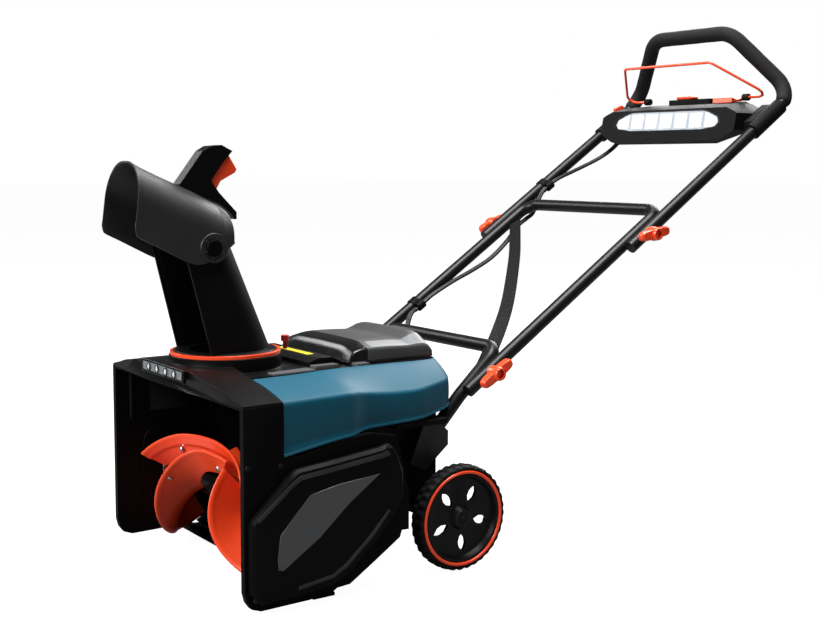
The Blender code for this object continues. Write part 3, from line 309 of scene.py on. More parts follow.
def circle(steps):
    """Even steps round a unit circle, as rows of cosine and sine."""
    turn = np.linspace(0, 2 * math.pi, steps, endpoint=False)
    return np.stack([np.cos(turn), np.sin(turn)], -1)


def boxy(steps, powers):
    """A closed outline between a circle and a box: each step's cosine and sine, raised to two powers."""
    ring = circle(steps)
    return np.sign(ring) * np.abs(ring) ** powers


def turned(profile, y, z, steps=48, loop=True):
    """A turned solid about a line along X: every (x, radius) point of the profile runs round a circle."""
    profile = np.asarray(profile, float)
    x = np.repeat(profile[:, :1, None], steps, axis=1)
    return solid_of(np.concatenate([x, (y, z) + profile[:, 1:, None] * circle(steps)], -1), loop)


def dome_screw(place, normal, radius=0.0045, height=0.0022, steps=16):
    """A domed screw head with a small recess: circles round the normal, their radius and height on an arc."""
    normal = unit(np.asarray(normal, float))
    side = unit(np.cross(normal, (0.31, 0.52, 0.79)))
    reach = radius * np.array([1.0, 1.0, 0.92, 0.72, 0.42, 0.4, 0.12])
    rise = height * np.array([-0.6, 0.25, 0.62, 0.9, 1.0, 0.45, 0.4])
    ring = circle(steps)
    ring = ring[:, :1] * side + ring[:, 1:] * np.cross(normal, side)
    return solid_of(np.asarray(place) + reach[:, None, None] * ring + rise[:, None, None] * normal)


def slab(outline, x, thick, edge=0.0008):
    """A thin plate with chamfered edges on a plane of constant x: its (y, z) outline shrinks at both faces."""
    outline = np.asarray(outline, float)
    middle = outline.mean(axis=0)
    reach = np.linalg.norm(outline - middle, axis=1).mean()
    rings = []
    for share, level in ((1 - edge / reach, 0.0), (1, edge), (1, thick - edge), (1 - edge / reach, thick)):
        ring = middle + (outline - middle) * share
        rings.append(np.column_stack([np.full(len(ring), x + level), ring]))
    return solid_of(rings)


# Raised bearing pads and stiffening ribs on the inner faces of the two side plates.
inner_details = []
for side in (1, -1):
    pad = (0.118, 0.128) + boxy(40, (0.45, 0.45)) * (0.066, 0.088)
    inner_details.append(slab(pad, side * PAD_FACE - (PAD_DEPTH if side > 0 else 0.0), PAD_DEPTH))
    for y in (0.028, 0.196):
        rib = [(y, 0.235), (y + 0.004, 0.235), (y + 0.004, 0.325), (y, 0.325)]
        inner_details.append(slab(rib, side * RIB_FACE - (RIB_DEPTH if side > 0 else 0.0), RIB_DEPTH))
piece("side_plate_pads", inner_details, black, "chassis")

# ---------------- auger
# Two bent rubber sheets and two paddles bolted round a square steel bar. The rubber is orange and slightly
# glossy, with rounded rims and domed bolt heads.
AUGER_Y, AUGER_Z, AUGER_RADIUS = 0.115, 0.125, 0.112
SHEET, RIM_LIP, PADDLE_LIP, PADDLE_CREASE = 0.0045, 0.0008, 0.0006, 0.0028
HOLE, NEAR_HOLE, PADDLE_HOLE = 0.058, 0.026, 0.052
REAR_PADDLE_TURN = 232
FAR_RIM = [
    # x, angle about the auger's axis from the rear towards the top
    (0.108, 124), (0.08, 123), (0.05, 123), (0.02, 123), (-0.004, 125), (-0.024, 130), (-0.042, 138),
    (-0.057, 149), (-0.07, 162), (-0.082, 176), (-0.093, 191), (-0.105, 207), (-0.122, 222), (-0.145, 237),
    (-0.173, 251), (-0.207, 264), (-0.23, 282), (-0.24, 302),
]
NEAR_RIM = [
    (0.119, 132), (0.1215, 141), (0.124, 152), (0.127, 163), (0.131, 174), (0.137, 185), (0.146, 196),
    (0.159, 206), (0.175, 215), (0.195, 224), (0.218, 233),
]
PADDLE_RIM = [
    (-0.183, 150), (-0.168, 140), (-0.151, 131), (-0.134, 124), (-0.112, 117), (-0.08, 112), (-0.045, 109),
    (0.000, 108), (0.04, 110), (0.075, 113), (0.107, 117), (0.13, 121), (0.155, 126), (0.178, 132), (0.2, 139),
    (0.222, 148),
]
orange_rubber = moulded("orange_rubber", (0.95, 0.075, 0.018), 0.26, 500, 0.0001, 0.18, shine=0.5, rubbed=0.0)


def flowing(stations, count):
    """Rows of numbers joined by a Catmull-Rom curve and read at evenly spaced places."""
    rows = np.asarray(stations, float)
    padded = np.concatenate([2 * rows[:1] - rows[1:2], rows, 2 * rows[-1:] - rows[-2:-1]])
    place = np.linspace(0, len(rows) - 1, count)
    index = np.minimum(place.astype(int), len(rows) - 2)
    t = (place - index)[:, None]
    p0, p1, p2, p3 = (padded[index + i] for i in range(4))
    return 0.5 * (2 * p1 + (p2 - p0) * t + (2 * p0 - 5 * p1 + 4 * p2 - p3) * t ** 2
                  + (3 * p1 - p0 - 3 * p2 + p3) * t ** 3)


def on_auger(x, angle, radius):
    """Places at x, an angle in degrees and a radius about the auger's axis."""
    turn = np.radians(angle)
    return np.stack([x, AUGER_Y + radius * np.cos(turn), AUGER_Z + radius * np.sin(turn)], -1)


def rubber_sheet(stations, count, crease=0.0, lip=0.0):
    """A bent sheet between an inner edge and a rim, both given as x, angle and radius about the auger's axis.
    A closed section runs up one face, round the rim, down the other face and round the inner edge; a crease
    shifts the rubber sideways past three fifths of its width, and a lip thickens it just under the rim."""
    rows = flowing(stations, count)
    inner, rim = on_auger(*rows[:, :3].T), on_auger(*rows[:, 3:].T)
    share = np.concatenate([[0.0, 0.012], np.linspace(0.04, 0.96, 22), [0.988, 1.0]])
    line = inner[:, None] + (rim - inner)[:, None] * share[None, :, None]
    normal = unit(np.cross(np.gradient(line, axis=0), np.gradient(line, axis=1)))
    half = np.full(len(share), SHEET / 2) + lip * np.exp(-((share - 0.93) / 0.035) ** 2)
    half[[0, -1]] = SHEET * 0.18
    half[[1, -2]] = SHEET * 0.4
    shift = crease / (1 + np.exp(-(share - 0.62) * 60)) - crease * np.clip(share - 0.62, 0, 1) * 2.2
    middle = line + normal * shift[None, :, None]
    front = middle + normal * half[None, :, None]
    back = middle - normal * half[None, :, None]
    return solid_of(np.concatenate([front, back[:, ::-1]], axis=1))


far_stations = []
for x, angle in FAR_RIM:
    slant = max(0.0, x - 0.03)
    inner_radius = HOLE - 0.042 * min(1.0, max(0.0, (angle - 130) / 40))
    far_stations.append((x - 0.9 * slant, angle + 140 * slant, inner_radius, x, angle, AUGER_RADIUS))
near_stations = [(x + 0.006, angle, NEAR_HOLE, x, angle, AUGER_RADIUS) for x, angle in NEAR_RIM]
sheets = [("far_spiral", "auger_flight_right", rubber_sheet(far_stations, 140, 0.0, RIM_LIP)),
          ("near_spiral", "auger_flight_left", rubber_sheet(near_stations, 90, 0.0, RIM_LIP))]
for name, node, turn in (("front_paddle", "paddle_upper", 0),
                         ("rear_paddle", "paddle_lower", REAR_PADDLE_TURN)):
    stations = [(x, angle + turn, PADDLE_HOLE, x, angle + turn, AUGER_RADIUS) for x, angle in PADDLE_RIM]
    sheets.append((name, node, rubber_sheet(stations, 130, PADDLE_CREASE, PADDLE_LIP)))
for name, node, sheet in sheets:
    piece(name, [sheet], orange_rubber, "auger", [node], 50)

# A bent tab of the same rubber laps the start of the near spiral, under its bolt.
bright_steel = moulded("zinc_steel", (0.62, 0.62, 0.63), 0.24, 900, 0.00003, 0.3, metallic=1.0, rubbed=0)
piece("bolt_tab", [rubber_sheet([
    (0.121, 134, 0.108, 0.117, 131, 0.111), (0.124, 146, 0.088, 0.1, 146, 0.098),
    (0.12, 156, 0.07, 0.093, 155, 0.082), (0.112, 166, 0.056, 0.092, 166, 0.064),
], 40)], orange_rubber, "auger", angle=50)
BOLTS = ((-0.066, 158, 0.095), (0.04, 123, 0.078), (0.104, 157, 0.072), (0.15, 126, 0.08),
         (-0.12, 119, 0.08))
bolts = []
for x, angle, radius in BOLTS:
    centre = on_auger(x, angle, radius)
    tangent = on_auger(0, angle + 90, 1.0) - (0, AUGER_Y, AUGER_Z)
    facing = tangent if angle < 156 else tangent + (0.9 if x > 0 else -0.9, 0, 0)
    facing = unit(-facing if facing[1] > 0 else facing)
    bolts.append(dome_screw(centre + facing * 0.0036, facing, 0.0066, 0.004))
piece("auger_bolts", bolts, bright_steel, "auger")

bar_steel = moulded("bar_black_steel", (0.01, 0.01, 0.011), 0.34, 700, 0.00008, 0.3, metallic=0.3, shine=0.3)
softened("auger_shaft", bar_steel, "auger", 0.0012)
softened("auger_pulley", black, "auger", 0.0006)
softened("motor_pulley", bright_steel, "motor_drive", 0.0004)

# ---------------- top deck and its LED bar
# The black cowl over the housing steps up to the battery bay, with an orange ring round the chute's seat. A
# bar of four round lamps sits behind a clear strip along its front edge, with a small grey peg underneath.
LAMP_PLACES, LAMP_HEIGHT = (-0.053, -0.018, 0.018, 0.053), 0.3668
LAMP_RIM = ((0.007, 0.001), (0.0072, -0.0002), (0.0066, -0.0012), (0.0056, -0.0012), (0.0052, 0.0002),
            (0.0052, 0.001))
LAMP_BOWL = ((0.005, 0.001), (0.005, -0.0002), (0.004, -0.0007), (0.0022, -0.001), (0.0008, -0.0011))
orange = moulded("orange_gloss", (0.95, 0.07, 0.016), 0.24, 700, 0.00004, 0.12, shine=0.5, rubbed=0)
deck_black = moulded("deck_black", (0.003, 0.003, 0.0033), 0.34, shine=0.12)
softened("top_deck", deck_black, "chassis", 0.0012)
softened("led_bezel", deck_black, "chassis", 0.0006)
peg = []
for share in np.linspace(0, 1, 6):
    radius = 0.0036 - 0.001 * share + (0.001 if share == 0 else 0)
    middle = np.array([0.06, -0.004 + 0.004 * share, 0.356 - 0.017 * share])
    peg.append(middle + radius * np.pad(circle(16), ((0, 0), (0, 1))))
peg_grey = moulded("peg_grey", (0.1, 0.1, 0.105), 0.35, rubbed=0)
piece("lamp_peg", [solid_of(peg)], peg_grey, "chassis", angle=60)
softened("chute_ring", orange, "chassis", 0.0006)

lamp_dark = moulded("lamp_tray", (0.03, 0.032, 0.034), 0.3, 700, 0.00004, 0.2)
lamp_white = moulded("lamp_reflector", (0.72, 0.73, 0.74), 0.2, 700, 0.00003, 0.15, rubbed=0)
lens_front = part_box("led_lens")[0][1] - FRONT
rims, bowls = [], []
for x in LAMP_PLACES:
    upright = np.insert(circle(32), 1, 0, axis=1)
    centre = np.array([x, lens_front - 0.0012, LAMP_HEIGHT])
    rims.append(solid_of([centre + upright * r + (0, d, 0) for r, d in LAMP_RIM], loop=True))
    bowls.append(solid_of([centre + upright * r + (0, d, 0) for r, d in LAMP_BOWL]))
piece("lamp_rims", rims, lamp_dark, "chassis")
piece("lamp_bowls", bowls, lamp_white, "chassis")


def glass(name, colour, alpha, roughness=0.06):
    """A clear moulding: a thin tinted plastic whose cover is clouded a little by fine noise."""
    material, add, shader = finish(name)
    noise = add("ShaderNodeTexNoise")
    fill(noise, {"Scale": 60, "Vector": add("ShaderNodeTexCoord").outputs["Object"]})
    fill(shader, {"Base Color": (*colour, 1), "Metallic": 0.0, "IOR": 1.49})
    for socket, low, high in (("Alpha", alpha * 0.85, alpha * 1.15),
                              ("Roughness", roughness * 0.6, roughness * 1.6)):
        spread = add("ShaderNodeMapRange")
        fill(spread, {"To Min": low, "To Max": high, "Value": noise.outputs["Fac"]})
        fill(shader, {socket: spread.outputs["Result"]})
    return material


lens_clear = glass("clear_lamp_lens", (0.55, 0.6, 0.64), 0.22)
softened("led_lens", lens_clear, "chassis", 0.0008)

yellow = moulded("yellow_strip", (0.62, 0.5, 0.02), 0.38, 600, 0.00003, 0.15, shine=0.4, rubbed=0)
facet_grey = moulded("facet_grey", (0.075, 0.076, 0.08), 0.32, shine=0.35, rubbed=0.05)


def tile(corners, top, bottom):
    """A flat piece with a chamfered upper edge: its (x, y) corners at the bottom, drawn in at the top."""
    corners = np.asarray(corners, float)
    middle = corners.mean(axis=0)
    rings = []
    for share, z in ((1, bottom), (1, top - 0.0005), (0.985, top)):
        ring = middle + (corners - middle) * share
        rings.append(np.column_stack([ring, np.full(len(ring), z)]))
    return solid_of(rings)


strip = tile([(0.06, 0.237), (0.06, 0.252), (-0.055, 0.252), (-0.055, 0.237)], 0.3807, 0.3795)
piece("yellow_strip", [strip], yellow, "chassis")
FACETS = (
    # top z, then the (x, y) corners
    (0.3672, (0.128, 0.12), (0.152, 0.12), (0.148, 0.205), (0.118, 0.205)),
    (0.37, (0.112, 0.214), (0.132, 0.214), (0.132, 0.262), (0.112, 0.262)),
    (0.369, (0.126, 0.292), (0.146, 0.292), (0.146, 0.318), (0.126, 0.318)),
)
FACET_FOOT = 0.364
facets = [tile([(side * x, y) for x, y in corners], top, FACET_FOOT)
          for side in (1, -1) for top, *corners in FACETS]
piece("deck_facets", facets, facet_grey, "chassis")

# ---------------- side covers
# Black covers bolted over the belt on one side and the bearing on the other, each with a blank grey plate
# glued on and two low ridges moulded along its upper and its lower rear edge.
cover_black = moulded("cover_black", (0.0022, 0.0022, 0.0024), 0.36, shine=0.07, rubbed=0.06)
softened("belt_cover", cover_black, "chassis", 0.0012, 3)
softened("bearing_cover", cover_black, "chassis", 0.0012, 3)
COVER_FACE = 0.2858
LABEL = [
    (0.0529, 0.0732), (0.0512, 0.0916), (0.057, 0.13), (0.0847, 0.1599), (0.1128, 0.1886), (0.1681, 0.1987),
    (0.2471, 0.2043), (0.1874, 0.1637), (0.1294, 0.1142), (0.062, 0.0715),
]
RIDGE = [(0.09, 0.034), (0.156, 0.042), (0.183, 0.056), (0.233, 0.098), (0.27, 0.138), (0.265, 0.1405),
         (0.229, 0.103), (0.18, 0.062), (0.154, 0.048), (0.09, 0.04)]
TOP_RIDGE = [(0.015, 0.162), (0.044, 0.185), (0.078, 0.213), (0.094, 0.2225), (0.17, 0.23),
             (0.252, 0.239), (0.264, 0.2425), (0.27, 0.234), (0.252, 0.231), (0.17, 0.2225),
             (0.096, 0.215), (0.08, 0.206), (0.046, 0.178), (0.018, 0.156)]
COVER_SCREWS = ((0.2532, 0.243), (0.0062, 0.2433), (0.0669, 0.2396), (0.015, 0.029), (0.293, 0.19))
grey = moulded("label_grey", (0.06, 0.062, 0.066), 0.3, 600, 0.00004, 0.18, shine=0.5, rubbed=0)
ridge_black = moulded("ridge_black", (0.006, 0.006, 0.0066), 0.26, shine=0.2)
labels, ridges, cover_screws = [], [], []
for side in (1, -1):
    base = side * COVER_FACE - (0.0 if side > 0 else 0.001)
    labels.append(slab(LABEL, base, 0.001, 0.0004))
    for outline in (RIDGE, TOP_RIDGE):
        ridges.append(slab(outline, base - side * 0.0002, 0.0012, 0.0006))
    for y, z in COVER_SCREWS:
        level = 0.2706 if z > 0.235 and y < 0.25 else 0.28
        cover_screws.append(dome_screw((side * level, y, z), (side, 0, 0), 0.0042, 0.0018))
piece("cover_labels", labels, grey, "chassis")
piece("cover_ridges", ridges, ridge_black, "chassis")
piece("cover_screws", cover_screws, ridge_black, "chassis")

# ---------------- hood
# The blue shell over the motor and battery bay: one glossy moulding whose upper face rolls over a soft crease
# into the sides, with a thin lip along its lower edge.
hood_blue = moulded("hood_blue", (0.004, 0.074, 0.12), 0.48, 700, 0.00005, 0.12, shine=0.2, rubbed=0.04)
HOOD_STATIONS = [
    # side x, side y, foot z, crease z, top x, top y, top z
    (0.2685, 0.0738, 0.2518, 0.343, 0.16, 0.074, 0.365), (0.2685, 0.17, 0.2672, 0.345, 0.15, 0.17, 0.364),
    (0.265, 0.21, 0.2702, 0.344, 0.149, 0.21, 0.366), (0.242, 0.245, 0.2722, 0.337, 0.149, 0.25, 0.3665),
    (0.235, 0.3, 0.273, 0.33, 0.149, 0.3, 0.3665), (0.234, 0.36, 0.275, 0.328, 0.149, 0.37, 0.366),
    (0.222, 0.4, 0.278, 0.331, 0.149, 0.42, 0.3655), (0.18, 0.474, 0.286, 0.337, 0.13, 0.475, 0.365),
    (0.0000, 0.486, 0.288, 0.339, 0.000, 0.4755, 0.365),
]
HOOD_WALL = 0.003
mirrored_stations = [(-x, y, foot, crease, -u, v, top)
                     for x, y, foot, crease, u, v, top in HOOD_STATIONS[-2::-1]]
course = flowing(HOOD_STATIONS + mirrored_stations, 170)
for _ in range(14):
    course[1:-1] = 0.25 * course[:-2] + 0.5 * course[1:-1] + 0.25 * course[2:]
side, rim = course[:, :2], course[:, 4:6]
tangent = np.gradient(side, axis=0)
outward = unit(np.stack([tangent[:, 1], -tangent[:, 0]], -1))
foot, crease, crown = course[:, 2], course[:, 3], course[:, 6]
rows = []
for lift, out in ((0.0, 0.0004), (0.0004, 0.0012), (0.0036, 0.0012), (0.0044, 0.0004), (0.0052, -0.0004)):
    rows.append(np.column_stack([side + outward * out, foot + lift]))
for share in (0.2, 0.45, 0.7, 0.84):
    bulge = 0.0016 * math.sin(math.pi * share) - 0.0004
    rows.append(np.column_stack([side + outward * bulge, foot + (crease - foot) * share]))


def rolled(first, corner, last, t):
    """A roll round a corner: the quadratic Bezier curve from the first point to the last, read at t."""
    return first * (1 - t) ** 2 + corner * 2 * t * (1 - t) + last * t ** 2


low = np.column_stack([side, foot + (crease - foot) * 0.9])
corner = np.column_stack([side, crease])
edge = np.column_stack([rim, crown])
high = corner + (edge - corner) * 0.1
rows += [rolled(low, corner, high, t) for t in np.linspace(0, 1, 7)]
for share in (0.25, 0.45, 0.65, 0.85, 0.97, 1.0):
    swell = np.array([0, 0, 0.0022 * math.sin(math.pi * share)])
    rows.append(corner + (edge - corner) * share + swell - (0, 0, 0.0008 if share == 1.0 else 0))
hood_skin = shell(np.stack(rows, axis=1), HOOD_WALL)
piece("hood_skin", [hood_skin], hood_blue, "chassis", ["hood"], 55)

# ---------------- battery lid
# A hinged lid over a step on the deck: a glossy black curved front, a dark grey top with a painted highlight
# in lighter grey on the sloping facet down each side, and a black skirt round its foot.
lid_black = moulded("lid_gloss", (0.0045, 0.0046, 0.0052), 0.16, shine=0.45)
lid_grey = moulded("lid_grey", (0.052, 0.053, 0.053), 0.4, shine=0.35, rubbed=0.05)
# The lighter copy of the lid's grey is painted highlight: the sloping facets catch the overhead light.
lid_facet_painted_highlight = moulded("lid_facet_painted_highlight", (0.155, 0.16, 0.165), 0.38, shine=0.4, rubbed=0.05)
LID_STATIONS = [
    # y, top z, shoulder z
    (0.2868, 0.37, 0.369), (0.29, 0.379, 0.375), (0.2955, 0.391, 0.382), (0.305, 0.399, 0.388),
    (0.33, 0.4035, 0.3915), (0.38, 0.403, 0.391), (0.415, 0.4015, 0.3895), (0.43, 0.406, 0.3895),
    (0.443, 0.4115, 0.3895), (0.458, 0.411, 0.388), (0.468, 0.401, 0.383), (0.472, 0.39, 0.378),
]
LID_HALF, LID_FOOT, LID_WALL, LID_SPLIT = 0.1235, 0.366, 0.003, 0.325
lid_rows = flowing(LID_STATIONS, 90)


def lid_row(y, top, shoulder):
    """The lid's section at y, foot to foot: each half runs foot, rolled shoulder, sloping facet, crown."""
    corner = np.array([LID_HALF, shoulder])
    crown = np.array([LID_HALF - 0.034, top - 0.0022])
    low = np.array([LID_HALF + 0.0015, LID_FOOT])
    t = np.linspace(0, 1, 6)[:, None]
    a, b = corner + (low - corner) * 0.22, corner + (crown - corner) * 0.16
    c, d = crown + (corner - crown) * 0.22, np.array([LID_HALF - 0.05, top - 0.001])
    flat = np.column_stack([np.linspace(LID_HALF - 0.05, 0, 8)[1:], top - 0.001 * np.linspace(1, 0, 8)[1:]])
    half = np.concatenate([[low, low + (a - low) * 0.5], rolled(a, corner, b, t), rolled(c, crown, d, t), flat])
    full = np.concatenate([half, half[-2::-1] * (-1, 1)])
    return np.column_stack([full[:, 0], np.full(len(full), y), full[:, 1]])


lid_grid = np.stack([lid_row(*row) for row in lid_rows])
lid_split = int(np.searchsorted(lid_rows[:, 0], LID_SPLIT))
lid_front = shell(lid_grid[:lid_split + 1], LID_WALL)
piece("lid_front", [lid_front], lid_black, "lid", ["battery_lid"], 50)
piece("lid_top", [shell(lid_grid[lid_split:], LID_WALL)], lid_grey, "lid", angle=50)
# Thin sheets laid over the sloping facets carry that painted highlight.
facet_highlight_skins = []
for columns in (slice(6, 10), slice(-10, -6)):
    facet = lid_grid[lid_split + 2:-8, columns].copy()
    facet[..., 0] += np.sign(facet[..., :1].mean()) * 0.0007
    facet_highlight_skins.append(shell(facet, 0.001))
piece("lid_facet_highlights", facet_highlight_skins, lid_facet_painted_highlight, "lid", angle=50)
skirt = []
for low, high, half in ((0.3662, 0.37, LID_HALF + 0.0022), (0.37, 0.3706, LID_HALF + 0.001)):
    ring = [(half, 0.292), (half, 0.47), (half - 0.004, 0.4735), (-half + 0.004, 0.4735), (-half, 0.47),
            (-half, 0.292)]
    skirt += [[(x, y, z) for x, y in ring] for z in (low, high)]
piece("lid_trim", [solid_of(skirt)], lid_black, "lid")

# ---------------- wheels
# Black spoked wheels with five leaf-shaped openings, a chunky tread and an orange trim ring.
WHEEL_Y, WHEEL_RADIUS = 0.432, 0.0956
TREAD_STEPS, LUGS, LUG_DEPTH = 288, 36, 0.0022
TREAD = (
    # x, radius, how deep the lugs are cut: above 0 on the inner row, below 0 on the outer
    (0.2445, 0.079, 0.0), (0.2445, 0.0876, 0.0), (0.247, 0.0926, 0.6), (0.2505, 0.0948, 1.0),
    (0.259, 0.0956, 1.0), (0.262, 0.0956, 1.0), (0.2622, 0.0956, -1.0), (0.265, 0.0956, -1.0),
    (0.2735, 0.0948, -1.0), (0.277, 0.0926, -0.6), (0.2785, 0.0882, 0.0), (0.276, 0.0878, 0.0),
    (0.276, 0.079, 0.0),
)
TRIM_RING = ((0.2764, 0.08), (0.2764, 0.0862), (0.2784, 0.086), (0.2796, 0.085), (0.28, 0.0836), (0.28, 0.0826),
             (0.2796, 0.0814), (0.2784, 0.0804))
HUB_CAP = ((0.2755, 0.0001), (0.2755, 0.0155), (0.2768, 0.0145), (0.2772, 0.01), (0.2762, 0.0085),
           (0.2762, 0.005), (0.278, 0.0042), (0.278, 0.0001))
tyre_rubber = moulded("tyre_rubber", (0.0034, 0.0034, 0.0036), 0.62, 700, 0.0003, 0.4, shine=0.12)
rim_black = moulded("rim_black", (0.0035, 0.0035, 0.0037), 0.34, shine=0.16)
turn = np.linspace(0, 2 * math.pi, TREAD_STEPS, endpoint=False)
lug = np.clip(np.sin(turn * LUGS) * 3.0, -1, 1) * 0.5 + 0.5
for name, side in (("left", 1), ("right", -1)):
    body = f"wheel_{name}"
    softened(f"wheel_rim_{name}", rim_black, body, 0.001)
    rings = []
    for x, radius, share in TREAD:
        reach = radius - LUG_DEPTH * abs(share) * (1 - lug if share >= 0 else lug)
        ring = (WHEEL_Y, WHEEL_RADIUS) + reach[:, None] * circle(TREAD_STEPS)
        rings.append(np.column_stack([np.full(TREAD_STEPS, side * x), ring]))
    trim = turned(np.array(TRIM_RING) * (side, 1), WHEEL_Y, WHEEL_RADIUS, 96)
    cap = turned(np.array(HUB_CAP) * (side, 1), WHEEL_Y, WHEEL_RADIUS, 40, False)
    tread = solid_of(rings, loop=True)
    piece(f"tread_{name}", [tread], tyre_rubber, body, [f"tyre_{name}"], 28)
    piece(f"trim_ring_{name}", [trim], orange, body, [f"wheel_ring_{name}"])
    piece(f"hub_cap_{name}", [cap], rim_black, body)

# ---------------- chute, its deflector, grip and locks
# The chute turns on a black flange in the deck's orange ring. The curved deflector tips on two pivots and has a
# soft grip with an orange squeeze trigger, and a red lock knob stands behind the ring.
chute_black = moulded("chute_black", (0.0024, 0.0024, 0.0026), 0.4, shine=0.1, rubbed=0.05)
scoop_black = moulded("scoop_black", (0.011, 0.0112, 0.0114), 0.46, shine=0.5, rubbed=0.05)
CHUTE_Y, CHUTE_WALL, CHUTE_BEAD = 0.105, 0.0035, (0.0012, 0.0016, 0.0012)
levels = np.concatenate([[0.3949, 0.3975], np.linspace(0.402, 0.578, 28), [0.5835, 0.585]])
half_turn = np.linspace(0, math.pi, 41)
sections = []
for z in levels:
    rise = z - 0.395
    half = 0.072 - 0.024 * rise
    back = 0.104 - 0.345 * rise + 0.0085 * max(0.0, 1 - rise / 0.19)
    front = 0.0435 - 0.253 * rise
    behind = np.column_stack([half * np.cos(half_turn), back + half * np.sin(half_turn)])
    walls = np.linspace(0, 1, 14)[:-1, None]
    near = np.array([half, front]) * (1 - walls) + np.array([half, back]) * walls
    near[:3, 0] += CHUTE_BEAD
    far = near[::-1] * (-1, 1)
    outline = np.concatenate([near, behind, far])
    sections.append(np.column_stack([outline, np.full(len(outline), z)]))
piece("chute_channel", [shell(sections, CHUTE_WALL)], chute_black, "chute", angle=50)
FLANGE = ((0.064, 0.3884), (0.0905, 0.3884), (0.0912, 0.389), (0.0912, 0.3952), (0.09, 0.3962), (0.086, 0.3966),
          (0.079, 0.3975), (0.064, 0.3962))
SPIGOT = ((0.0635, 0.346), (0.0675, 0.346), (0.0675, 0.389), (0.0635, 0.389))
flange = []
for profile in (FLANGE, SPIGOT):
    rings = [np.column_stack([(0, CHUTE_Y) + r * circle(96), np.full(96, z)]) for r, z in profile]
    flange.append(solid_of(rings, loop=True))
piece("chute_flange", flange, chute_black, "chute", ["chute_tube"], 40)
SCOOP = [
    # y at the foot, foot z, top z, lean of the section towards the rear at its top
    (-0.092, 0.618, 0.729, 0.014), (-0.09, 0.608, 0.7285, 0.0135), (-0.085, 0.602, 0.7265, 0.011),
    (-0.06, 0.5895, 0.717, 0.004), (-0.03, 0.574, 0.705, 0.0), (0.0000, 0.559, 0.692, 0.0),
    (0.018, 0.554, 0.684, 0.0), (0.034, 0.556, 0.677, 0.0), (0.052, 0.564, 0.668, 0.0),
    (0.068, 0.574, 0.66, 0.0), (0.079, 0.581, 0.653, 0.0), (0.0855, 0.586, 0.646, 0.0),
    (0.0875, 0.589, 0.639, 0.0),
]
DEFLECTOR_HALF, SCOOP_WALL = 0.0745, 0.003
PIVOT_Y, PIVOT_Z = 0.049, 0.581
PIVOT_DISC = ((0.07, 0.0001), (0.07, 0.0262), (0.0745, 0.0262), (0.076, 0.025), (0.076, 0.0215),
              (0.0752, 0.0205), (0.0752, 0.0001))
SPOKE_LENGTH, SPOKE_WIDTH, SPOKE_DEPTH = 0.02, 0.0012, 0.0012
quarter_turn = np.linspace(0, math.pi / 2, 18)
arches = []
for y, foot, top, lean in flowing(SCOOP, 70):
    radius = min(0.066, (top - foot) * 0.8)
    wall_z = np.linspace(foot, top - radius, 12)[:-1]
    side_x = np.full(11, DEFLECTOR_HALF)
    side_x[:2] += (0.001, 0.0008)
    x = np.concatenate([side_x, DEFLECTOR_HALF - radius + radius * np.cos(quarter_turn)])
    z = np.concatenate([wall_z, top - radius + radius * np.sin(quarter_turn)])
    x, z = np.concatenate([x, -x[::-1]]), np.concatenate([z, z[::-1]])
    arches.append(np.column_stack([x, y + lean * (z - foot) / (top - foot), z]))
back_wall = arches[-2] * (0.985, 1, 1) - (0, 0.001, 0)
scoop_parts = [shell(arches, SCOOP_WALL), solid_of([back_wall, back_wall - (0, 0.0025, 0)])]
for side in (1, -1):
    scoop_parts.append(turned(np.array(PIVOT_DISC) * (side, 1), PIVOT_Y, PIVOT_Z, 48, False))
    for spoke in range(3):
        a = math.radians(20 + 60 * spoke)
        along, over = np.array([math.cos(a), math.sin(a)]), np.array([-math.sin(a), math.cos(a)])
        plate = [(PIVOT_Y, PIVOT_Z) + (along * u * SPOKE_LENGTH + over * v * SPOKE_WIDTH)
                 for u, v in ((-1, -1), (1, -1), (1, 1), (-1, 1))]
        face = side * PIVOT_DISC[-1][0] - (SPOKE_DEPTH if side < 0 else 0)
        scoop_parts.append(slab(plate, face, SPOKE_DEPTH, 0.0003))
piece("deflector_scoop", scoop_parts, scoop_black, "deflector", ["deflector"], 45)
softened("deflector_grip", chute_black, "deflector", 0.0035, 4)
softened("deflector_trigger", orange, "trigger", 0.0015, 3)
red = moulded("lock_red", (0.42, 0.012, 0.014), 0.3, shine=0.5, rubbed=0)
softened("chute_lock_knob", red, "chute_lock", 0.0015, 3)
for name in ("left", "right"):
    softened(f"deflector_pivot_{name}", black, "chute", 0.0006)

# ---------------- handle frames, brackets and clamp knobs
# Folding handle of black powder-coated steel tube in three lengths, clamped by orange winged knobs, with the
# orange wire bail that the operator squeezes against it.
powder = moulded("powder_coat", (0.0045, 0.0045, 0.0048), 0.36, 1600, 0.00003, 0.25, shine=0.25)
FRAME_SLOPE = math.radians(33.4)
UPPER_HALF, MIDDLE_HALF, LOWER_HALF = 0.2333, 0.2073, 0.1813
LOWER_KNOB, UPPER_KNOB = (0.5417, 0.3404), (0.9185, 0.5889)
TUBE_RADIUS, TUBE_STEP, TUBE_SIDE = 0.0128, 0.0035, (0.05, 0.6, -0.8)


def on_slope(along, knob=LOWER_KNOB):
    """The (y, z) at a distance along the handle line from a knob's axis."""
    return knob[0] + along * math.cos(FRAME_SLOPE), knob[1] + along * math.sin(FRAME_SLOPE)


